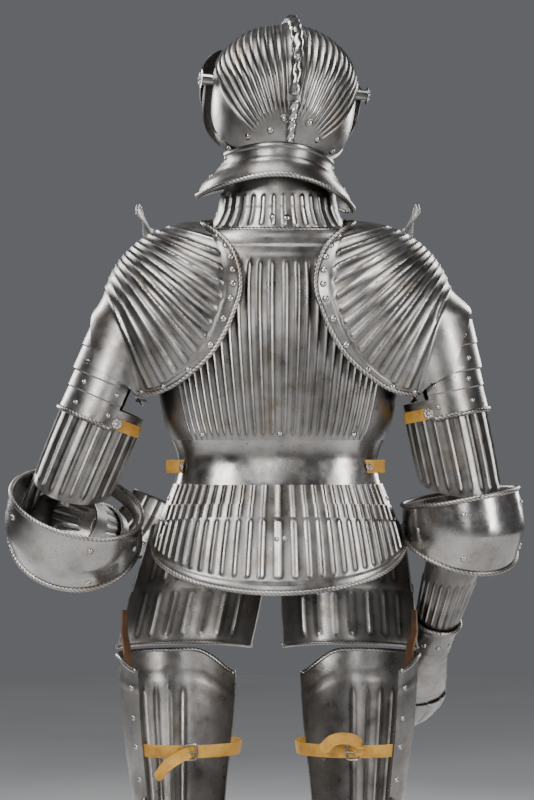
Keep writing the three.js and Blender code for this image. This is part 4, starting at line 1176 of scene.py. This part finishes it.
def makeArm(side):
    arm = arms[side]
    origin = Vector(arm["elbow"])
    down, fore = Vector(arm["down"]).normalized(), Vector(arm["fore"]).normalized()
    outward = Vector((1 if side == "left" else -1, 0, 0))
    upper, lower = basis(-down, fore), basis(-fore, -down)
    middle = basis(-(down + fore), fore - down)
    outerAngle = math.degrees(math.atan2(outward.dot(upper[1]), outward.dot(upper[0])))
    upperSign = math.copysign(1, outward.dot(upper[1]))
    outerSign = math.copysign(1, outward.dot(lower[1]))

    def cutAt(u, near, far):
        return mix(far, near, (1 + math.cos(math.radians(u))) / 2)

    def upperSpan(u, v):
        tongue = ease(0.87, 0.95, math.sin(math.radians(u)) * upperSign)
        return mix(mix(cutAt(u, 80, 26), -8, tongue), 190, v)

    makePlate({
        "name": f"upper_cannon_{side}",
        "face": tubeFace(origin, upper, upperArm, lambda u, v: u, upperSpan),
        "across": spread(0, 360, armFlutes * 8),
        "along": 40,
        "closed": True,
        "flute": lambda u, v: (fluteWave(u, armFlutes, 0, 360), shareAlong(v, 0.02, 0.1, 0.84, 0.89)),
        "lift": lambda u, v: 0.6 * between(0.93, 0.96, v, 0.008),
    })

    def cannonFace(u, v):
        tip = ease(0.93, 0.975, math.sin(math.radians(u)) * outerSign)
        d = mix(-238, mix(-cutAt(u, 60, 26), 6, tip), v)
        free = readAt(foreArm, "d", "wide", d) * math.sin(math.radians(u))
        ear = ease(0.6, 0.92, math.sin(math.radians(u)) * outerSign)
        shift = (pivotReach * outerSign - free) * ear * ease(-85, -31, d)
        return tubeFace(origin, lower, foreArm, lambda a, b: u, lambda a, b: d)(u, v) + lower[1] * shift

    makePlate({
        "name": f"lower_cannon_{side}",
        "face": cannonFace,
        "across": spread(0, 360, armFlutes * 8),
        "along": 44,
        "closed": True,
        "ridge": 1.9,
        "flute": lambda u, v: (fluteWave(u, armFlutes, 0, 360), shareAlong(v, 0.2, 0.26, 0.6, 0.68)),
    })

    def wrapHeight(u):
        return mix(12, arm["tall"], (1 - math.cos(math.radians(u))) / 2)

    inward = math.copysign(1, -outward.dot(middle[1]))
    heart = origin + middle[1] * inward * arm["slide"] + middle[2] * arm["rise"]
    capTable = dict(elbowCap, wide=[w * arm["wide"] for w in elbowCap["wide"]])
    cap = makePlate({
        "name": f"couter_{side}",
        "face": tubeFace(heart, middle, capTable, lambda u, v: u, lambda u, v: (v * 2 - 1) * wrapHeight(u)),
        "across": spread(0, 360, 128),
        "along": 40,
        "closed": True,
        "finish": bright,
        "lift": lambda u, v: 6 * ease(-0.2, -1, math.cos(math.radians(u))) * (1 - abs(v * 2 - 1)) ** 1.2,
    })
    for end, v in (("upper", 0.99), ("lower", 0.01)):
        edge = rimPath(cap, spread(0, 360, 160)[:-1], v, 0.3)
        makeRope(f"couter_rope_{end}_{side}", cap["name"], edge, 4, closed=True, pitch=6.5)
    rivetsOn(cap, [(90, 0.5), (270, 0.5), (140, 0.2), (220, 0.2), (140, 0.8), (220, 0.8)], 4)

    lames = [
        {"name": "arm_lame_lower", "low": 158, "high": 232, "out": 3.4, "half": 112},
        {"name": "arm_lame_upper", "low": 222, "high": 300, "out": 6.2, "half": 100},
    ]
    armPlates = []
    for lame in lames:
        def lameAngle(u, v, lame=lame):
            return outerAngle + u * lame["half"]

        def lameSpan(u, v, lame=lame):
            return mix(lame["low"], lame["high"], v)

        armPlates.append(makePlate({
            "name": f"{lame['name']}_{side}",
            "face": tubeFace(origin, upper, upperArm, lameAngle, lameSpan, lame["out"]),
            "across": spread(-1, 1, 80),
            "along": 36,
            "lift": lambda u, v: 1.7 * sawTooth(v, 2) * (1 - ease(0.86, 1, v)),
        }))
        for v in (0.24, 0.7):
            rivetsOn(armPlates[-1], [(u, v) for u in (-0.9, -0.45, 0.45, 0.9)], 3.2)
    rope = rimPath(armPlates[0], spread(-0.99, 0.99, 70), 0.01, 0.8)
    makeRope(f"arm_lame_rope_{side}", armPlates[0]["name"], rope, 4.2, pitch=6.5)

    def strapAngle(u, v):
        return outerAngle + mix(113.5, 246.5, u)

    strap = makePlate({
        "name": f"arm_strap_{side}",
        "face": tubeFace(origin, upper, upperArm, strapAngle, lambda u, v: mix(160, 178, v), 3.5),
        "across": 60,
        "along": 8,
        "thickness": strapThickness,
        "finish": buff,
        "lift": lambda u, v: 0.5 * math.sin(u * 23 + v) * math.sin(u * 9) - 0.5 * (abs(v - 0.5) > 0.45),
    })
    for end, u in (("back", 0.02), ("front", 0.98)):
        point, normal = spotOn(strap, u, 0.5, 1.2)
        makeRosette(f"strap_rosette_{end}_{side}", strap["name"], point, normal, 9, aged, 0.45)

    cuffPlate = makePlate({
        "name": f"gauntlet_cuff_{side}",
        "face": tubeFace(origin, lower, cuff, lambda u, v: u, lambda u, v: mix(-248, -198, v)),
        "across": spread(0, 360, 80),
        "along": 16,
        "closed": True,
        "lift": lambda u, v: 0.8 * between(0.8, 0.9, v, 0.02),
    })
    rim = rimPath(cuffPlate, spread(0, 360, 90)[:-1], 0.99, 0.4)
    makeRope(f"cuff_rope_{side}", cuffPlate["name"], rim, 3.4, closed=True, pitch=5.5)
    rivetsOn(cuffPlate, [(u, 0.35) for u in (120, 160, 200, 240)], 3.4)
    handPlate = makePlate({
        "name": f"gauntlet_hand_{side}",
        "face": tubeFace(
            origin, lower, handBack, lambda u, v: mix(78, 282, u), lambda u, v: mix(-352, -243, v)
        ),
        "across": 60,
        "along": 60,
        "lift": lambda u, v: 1.1 * sawTooth(v, 5),
    })
    rivetsOn(handPlate, [(u, v) for u in (0.06, 0.94) for v in (0.1, 0.3, 0.5, 0.7, 0.9)], 2.6)
    knuckles = rimPath(handPlate, spread(0.08, 0.92, 40), 0.03, 0.5)
    makeRope(f"knuckle_rope_{side}", handPlate["name"], knuckles, 3.2, pitch=5.5)

    def fingerFace(u, v):
        curl, angle = math.radians(mix(92, 0, 1 - v)), math.radians(mix(74, 286, 1 - u))
        v = 1 - v
        bow = 74
        knuckle = origin + lower[2] * -342 + lower[0] * (bow - 4)
        radius = bow - mix(24, 32.5, v) * math.cos(angle)
        bent = lower[2] * (-radius * math.sin(curl)) + lower[0] * (-radius * math.cos(curl))
        return knuckle + bent + lower[1] * mix(43, 57, v) * math.sin(angle)

    def fingerLift(u, v):  # scales across, and a groove between each two fingers
        groove = (1 - abs(math.sin(clamp((u - 0.2) / 0.6, 0, 1) * 4 * math.pi))) ** 4
        return 0.9 * sawTooth(1 - v, 6) - 2.2 * groove * between(0.22, 0.78, u, 0.02)

    makePlate({
        "name": f"gauntlet_fingers_{side}",
        "face": fingerFace,
        "across": 72,
        "along": 60,
        "lift": fingerLift,
    })


for side in ("left", "right"):
    makeArm(side)
print("stage: arms")

# Legs: thigh plates open behind, knee caps, greaves and round-toed sabatons
legSpread = {"left": 148, "right": 118}
kneeHeight = 490
thigh = {"z": [520, 600, 700, 790], "wide": [73, 82, 95, 101], "deep": [74, 84, 94, 102]}
shin = {
    "z": [30, 92, 160, 300, 390, 450],
    "wide": [44, 45, 45, 62, 62, 75],
    "front": [48, 48, 48, 58, 63, 79.4],
    "back": [60, 50, 46, 66, 62, 66],
}
foot = {
    "y": [-212, -196, -160, -100, -48.6],
    "wide": [34, 50, 54, 48, 46],
    "high": [18, 31, 44, 66, 99.4],
    "edge": 2,
}


def oval(wide, front, rear, degrees):
    a = math.radians(degrees)
    return wide * math.cos(a), (front if math.sin(a) < 0 else rear) * math.sin(a)


def cuisseFace(u, v):
    top = 806 - 34 * ease(0.75, 1, 1 - u) - 20 * ease(0.8, 1, u)
    z = mix(530 + 60 * ease(0.75, 1, u), top, v)
    deep = readAt(thigh, "z", "deep", z)
    return (*oval(readAt(thigh, "z", "wide", z), deep, deep * 0.95, mix(-146, 48, u)), z)


def kneeFace(u, v):
    angle = mix(-150, 34, u)
    lift = math.radians((v * 2 - 1) * mix(22, 34, max(0, -math.sin(math.radians(angle)))))
    x, y = oval(82, 95, 70, angle)
    return (x * mix(1, math.cos(lift), 0.5), y * math.cos(lift), kneeHeight + 95 * math.sin(lift))


def kneeLift(u, v):  # crowned, with a bead near each rim
    beads = between(0.9, 0.94, v, 0.01) + between(0.06, 0.1, v, 0.01)
    return 3 * (1 - abs(v * 2 - 1)) ** 1.5 + 0.8 * beads


def greaveFace(u, v):
    turn = math.sin(math.radians(u))
    z = mix(mix(102, 34, ease(-0.9, 0.6, turn)), 446 - 44 * ease(-0.2, 0.9, turn), v)
    wide, front, rear = (readAt(shin, "z", column, z) for column in ("wide", "front", "back"))
    return (*oval(wide, front, rear, u), z)


def footFace(u, v):
    y = mix(foot["y"][0], foot["y"][-1], 1 - v)
    a = math.radians(mix(0, 180, u))
    wide, high = readAt(foot, "y", "wide", y), readAt(foot, "y", "high", y)
    return (wide * power(math.cos(a), 0.8), y, foot["edge"] + high * power(math.sin(a), 0.8))


def strapFace(u, v):
    z = mix(652, 672, v)
    deep = readAt(thigh, "z", "deep", z)
    return (*oval(readAt(thigh, "z", "wide", z), deep, deep * 0.9, mix(50, 212, u)), z)


# Square buckle with a rounded frame and a tongue, laid on a strap
def makeBuckle(name, node, point, normal, along, size, finish=aged):
    bpy.ops.object.select_all(action="DESELECT")
    bpy.ops.mesh.primitive_torus_add(major_segments=32, minor_segments=8, major_radius=1, minor_radius=0.16)
    frameRing = bpy.context.object
    for vertex in frameRing.data.vertices:
        x, y, z = vertex.co
        far = math.hypot(x, y)
        square = (abs(x / far) ** 5 + abs(y / far) ** 5) ** 0.2
        vertex.co = (x / square, y / square * 0.8, z)
    bpy.ops.mesh.primitive_cylinder_add(
        vertices=12, radius=0.11, depth=1.9, rotation=(math.pi / 2, 0, 0), location=(0, 0, 0.12)
    )
    tongue = bpy.context.object
    frameRing.select_set(True)
    bpy.context.view_layer.objects.active = frameRing
    bpy.ops.object.join()
    across = normal.cross(along).normalized()
    turn = Matrix((across, along.normalized(), normal)).transposed()
    place = Matrix.Translation(inScene(point + normal * size * 0.18)) @ turn.to_4x4()
    frameRing.data.transform(place @ Matrix.Scale(size * toMetres, 4))
    frameRing.name = name
    return finishPiece(frameRing, node, finish, 40, hides=False)


# A flat strap run along a path, with its width direction and a slight cup
def makeStrap(name, node, path, widths, width, thickness, finish):
    line = np.array([tuple(p) for p in path], dtype=float)
    wide = np.array([tuple(w) for w in widths], dtype=float)
    wide /= np.linalg.norm(wide, axis=1, keepdims=True)
    tangent = np.gradient(line, axis=0)
    tangent /= np.linalg.norm(tangent, axis=1, keepdims=True)
    wide -= tangent * (wide * tangent).sum(axis=1, keepdims=True)
    wide /= np.linalg.norm(wide, axis=1, keepdims=True)
    out = np.cross(tangent, wide)
    across = np.linspace(-0.5, 0.5, 9)
    taper = np.ones(len(line))
    taper[-1], taper[-2], taper[-3] = 0.35, 0.72, 0.92
    rows = [line + wide * (a * width * taper)[:, None] + out * (-1.4 * (a * 2) ** 2) for a in across]
    piece = meshFromGrid(name, np.array(rows), False, np.full((9, len(line)), 0.8))
    addWall(piece, thickness, 0)
    bpy.context.view_layer.objects.active = piece
    bpy.ops.object.mode_set(mode="EDIT")
    bpy.ops.mesh.select_all(action="SELECT")
    bpy.ops.mesh.normals_make_consistent(inside=False)
    bpy.ops.object.mode_set(mode="OBJECT")
    return finishPiece(piece, node, finish, 45, hides=False)


def smoothPath(points, count=40):
    line = np.array(points, dtype=float)
    at = np.linspace(0, len(line) - 1, count)
    table = [{"t": list(range(len(line))), "c": list(line[:, k])} for k in range(3)]
    return [Vector([readAt(column, "t", "c", t) for column in table]) for t in at]


def makeLeg(side):
    mirrored = side == "right"
    shift = Matrix.Translation((legSpread[side], 0, 0))
    common = {"mirrored": mirrored, "place": shift}
    cuisse = makePlate({
        "name": f"cuisse_{side}",
        "face": cuisseFace,
        "across": fluteColumns(7, 0.26, 0.74, 20, 0, 1),
        "along": 40,
        "ridge": 1.7,
        "flute": lambda u, v: (fluteWave(u, 7, 0.26, 0.74), between(0.08, 0.78, v, 0.05)),
        "lift": lambda u, v: 0.9 * between(0.84, 0.87, v, 0.006) + 0.8 * between(0.965, 0.975, u, 0.012),
        **common,
    })
    cuisseRim = rimPath(cuisse, spread(0.01, 0.99, 70), 0.995)
    makeRope(f"cuisse_rope_{side}", cuisse["name"], cuisseRim, 3.8, pitch=6.5)
    rivetsOn(cuisse, [(0.955, v) for v in (0.15, 0.4, 0.62, 0.85)] + [(0.05, 0.3), (0.05, 0.7)], 3.4)
    poleyn = makePlate({
        "name": f"poleyn_{side}",
        "face": kneeFace,
        "across": 80,
        "along": 40,
        "finish": bright,
        "lift": kneeLift,
        **common,
    })
    rivetsOn(poleyn, [(0.05, 0.5), (0.95, 0.5), (0.3, 0.12), (0.7, 0.12), (0.3, 0.88), (0.7, 0.88)], 3.4)
    greave = makePlate({
        "name": f"greave_{side}",
        "face": greaveFace,
        "across": spread(0, 360, 96),
        "along": 40,
        "closed": True,
        "lift": lambda u, v: 2.2 * max(0, 1 - abs(u - 270) / 14) + 0.8 * between(0.93, 0.96, v, 0.008),
        **common,
    })
    rivetsOn(greave, [(4, v) for v in (0.2, 0.5, 0.8)] + [(176, v) for v in (0.2, 0.8)], 3.2)
    sabaton = makePlate({
        "name": f"sabaton_{side}",
        "face": footFace,
        "across": fluteColumns(5, 0.24, 0.76, 14, 0, 1, 10),
        "along": 72,
        "ridge": 1.6,
        "flute": lambda u, v: (fluteWave(u, 5, 0.24, 0.76), ease(0.62, 0.7, v) * (1 - ease(0.93, 0.98, v))),
        "lift": lambda u, v: 1.1 * sawTooth(1 - v, 7) * (1 - ease(0.6, 0.66, v)),
        **common,
    })
    toeRim = rimPath(sabaton, spread(0.06, 0.94, 50), 0.985)
    makeRope(f"toe_rope_{side}", sabaton["name"], toeRim, 3.4, pitch=5.5)
    rivetsOn(sabaton, [(u, v) for u in (0.06, 0.94) for v in (0.1, 0.24, 0.38, 0.52)], 2.8)

    strap = makePlate({
        "name": f"leg_strap_{side}",
        "face": strapFace,
        "across": 70,
        "along": 8,
        "thickness": strapThickness,
        "finish": buff,
        "lift": lambda u, v: 0.8 * math.sin(u * 17) * math.sin(u * 7 + 1) - 0.5 * (abs(v - 0.5) > 0.45),
        **common,
    })

    def tabFace(u, v):
        z = mix(742, 872, v)
        grow = mix(3, -5.2 if mirrored else -1.5, ease(806, 840, z))
        wide = readAt(thigh, "z", "wide", min(z, 800)) - grow
        return (*oval(wide, wide, wide, mix(-34, -12, mix(0.5, u, mix(1, 0.35, v)))), z)

    tab = makePlate({
        "name": f"thigh_tab_{side}",
        "face": tabFace,
        "across": 14,
        "along": 40,
        "thickness": strapThickness,
        "finish": brown,
        **common,
    })
    rivetsOn(tab, [(0.5, 0.95), (0.3, 0.15), (0.7, 0.15)], 3)

    # Buckle near the outer end, and the strap's loose end hanging from it
    turn = 0.30 if side == "left" else 0.26
    point, normal = spotOn(strap, turn, 0.5, 0.8)
    ahead = (spotOn(strap, turn + 0.02, 0.5)[0] - point).normalized()
    makeBuckle(f"buckle_{side}", strap["name"], point, normal, ahead, 12)
    rise = Vector((0, 0, 1))
    inward = Vector((-1 if side == "left" else 1, 0, 0))
    if side == "left":
        turns = [point + normal * 4 - inward * 2, point + normal * 7 - inward * 16 - rise * 6,
                 point + normal * 5 - inward * 36 - rise * 20, point + normal * 2 - inward * 52 - rise * 42]
    else:
        turns = [point + normal * 4 - inward * 2, point + normal * 8 - inward * 12 + rise * 9,
                 point + normal * 12 + inward * 4 + rise * 22, point + normal * 12 + inward * 30 + rise * 20,
                 point + normal * 10 + inward * 48 + rise * 2]
    path = smoothPath(turns)
    makeStrap(f"strap_end_{side}", strap["name"], path, [rise + inward * 0.5] * len(path), 18, 2.4, buff)


for side in ("left", "right"):
    makeLeg(side)

# Ends of the waist belt: a buff tab on each side, held by a rosette
for side, pixel in (("left", (183, 467)), ("right", (368, 467))):
    (point, normal), = seenAt(waistPlate, [pixel]) or [(None, None)]
    if point is None:
        continue
    away = Vector((1 if side == "left" else -1, 0, 0))
    wide = Vector((0, 0, 1))
    line = [
        point + normal * 2 + away * s - Vector((0, 1, 0)) * abs(s) ** 1.6 * 0.10 * (s > 0)
        for s in spread(24, -13, 24)
    ]
    makeStrap(f"belt_end_{side}", "waist_plate", line, [wide] * len(line), 20, 2.4, buff)
    makeRosette(f"belt_rosette_{side}", "waist_plate", point + normal * 3.4, normal, 7.5, aged, 0.45)
print("stage: legs and straps")


def makeRivets():
    bpy.ops.object.select_all(action="DESELECT")
    bpy.ops.mesh.primitive_uv_sphere_add(segments=14, ring_count=8, radius=1)
    head = bpy.context.object
    bpy.ops.object.mode_set(mode="EDIT")
    bpy.ops.mesh.select_all(action="SELECT")
    bpy.ops.mesh.bisect(plane_co=(0, 0, -0.2), plane_no=(0, 0, 1), use_fill=True, clear_inner=True)
    bpy.ops.object.mode_set(mode="OBJECT")
    head.data.transform(Matrix.Diagonal((1, 1, 0.62, 1)))
    # Rivet heads take the full painted highlight tone of the flute light
    tone = head.data.attributes.new("crest_light", "FLOAT", "POINT")
    tone.data.foreach_set("value", [1.0] * len(head.data.vertices))
    for body, spots in rivetSpots.items():
        copies = []
        for point, normal, radius in spots:
            twin = head.copy()
            twin.data = head.data.copy()
            bpy.context.scene.collection.objects.link(twin)
            place = Matrix.Translation(inScene(point))
            turn = normal.to_track_quat("Z", "Y").to_matrix().to_4x4()
            twin.data.transform(place @ turn @ Matrix.Scale(rivetSize * radius * toMetres, 4))
            copies.append(twin)
        bpy.ops.object.select_all(action="DESELECT")
        for twin in copies:
            twin.select_set(True)
        bpy.context.view_layer.objects.active = copies[0]
        bpy.ops.object.join()
        row = bpy.context.object
        row.name = f"rivets_{body}"
        row.data.materials.append(bright)
        bpy.ops.object.shade_smooth_by_angle(angle=math.radians(50))
        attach(row, body)
    bpy.data.objects.remove(head)


makeRivets()
for node, piece in frame["nodes"].items():
    if not piece.hide_render:
        piece.data.materials.clear()
        piece.data.materials.append(bright if node.startswith("visor_pivot") else steel)
print("stage: rivets,", sum(len(spots) for spots in rivetSpots.values()))
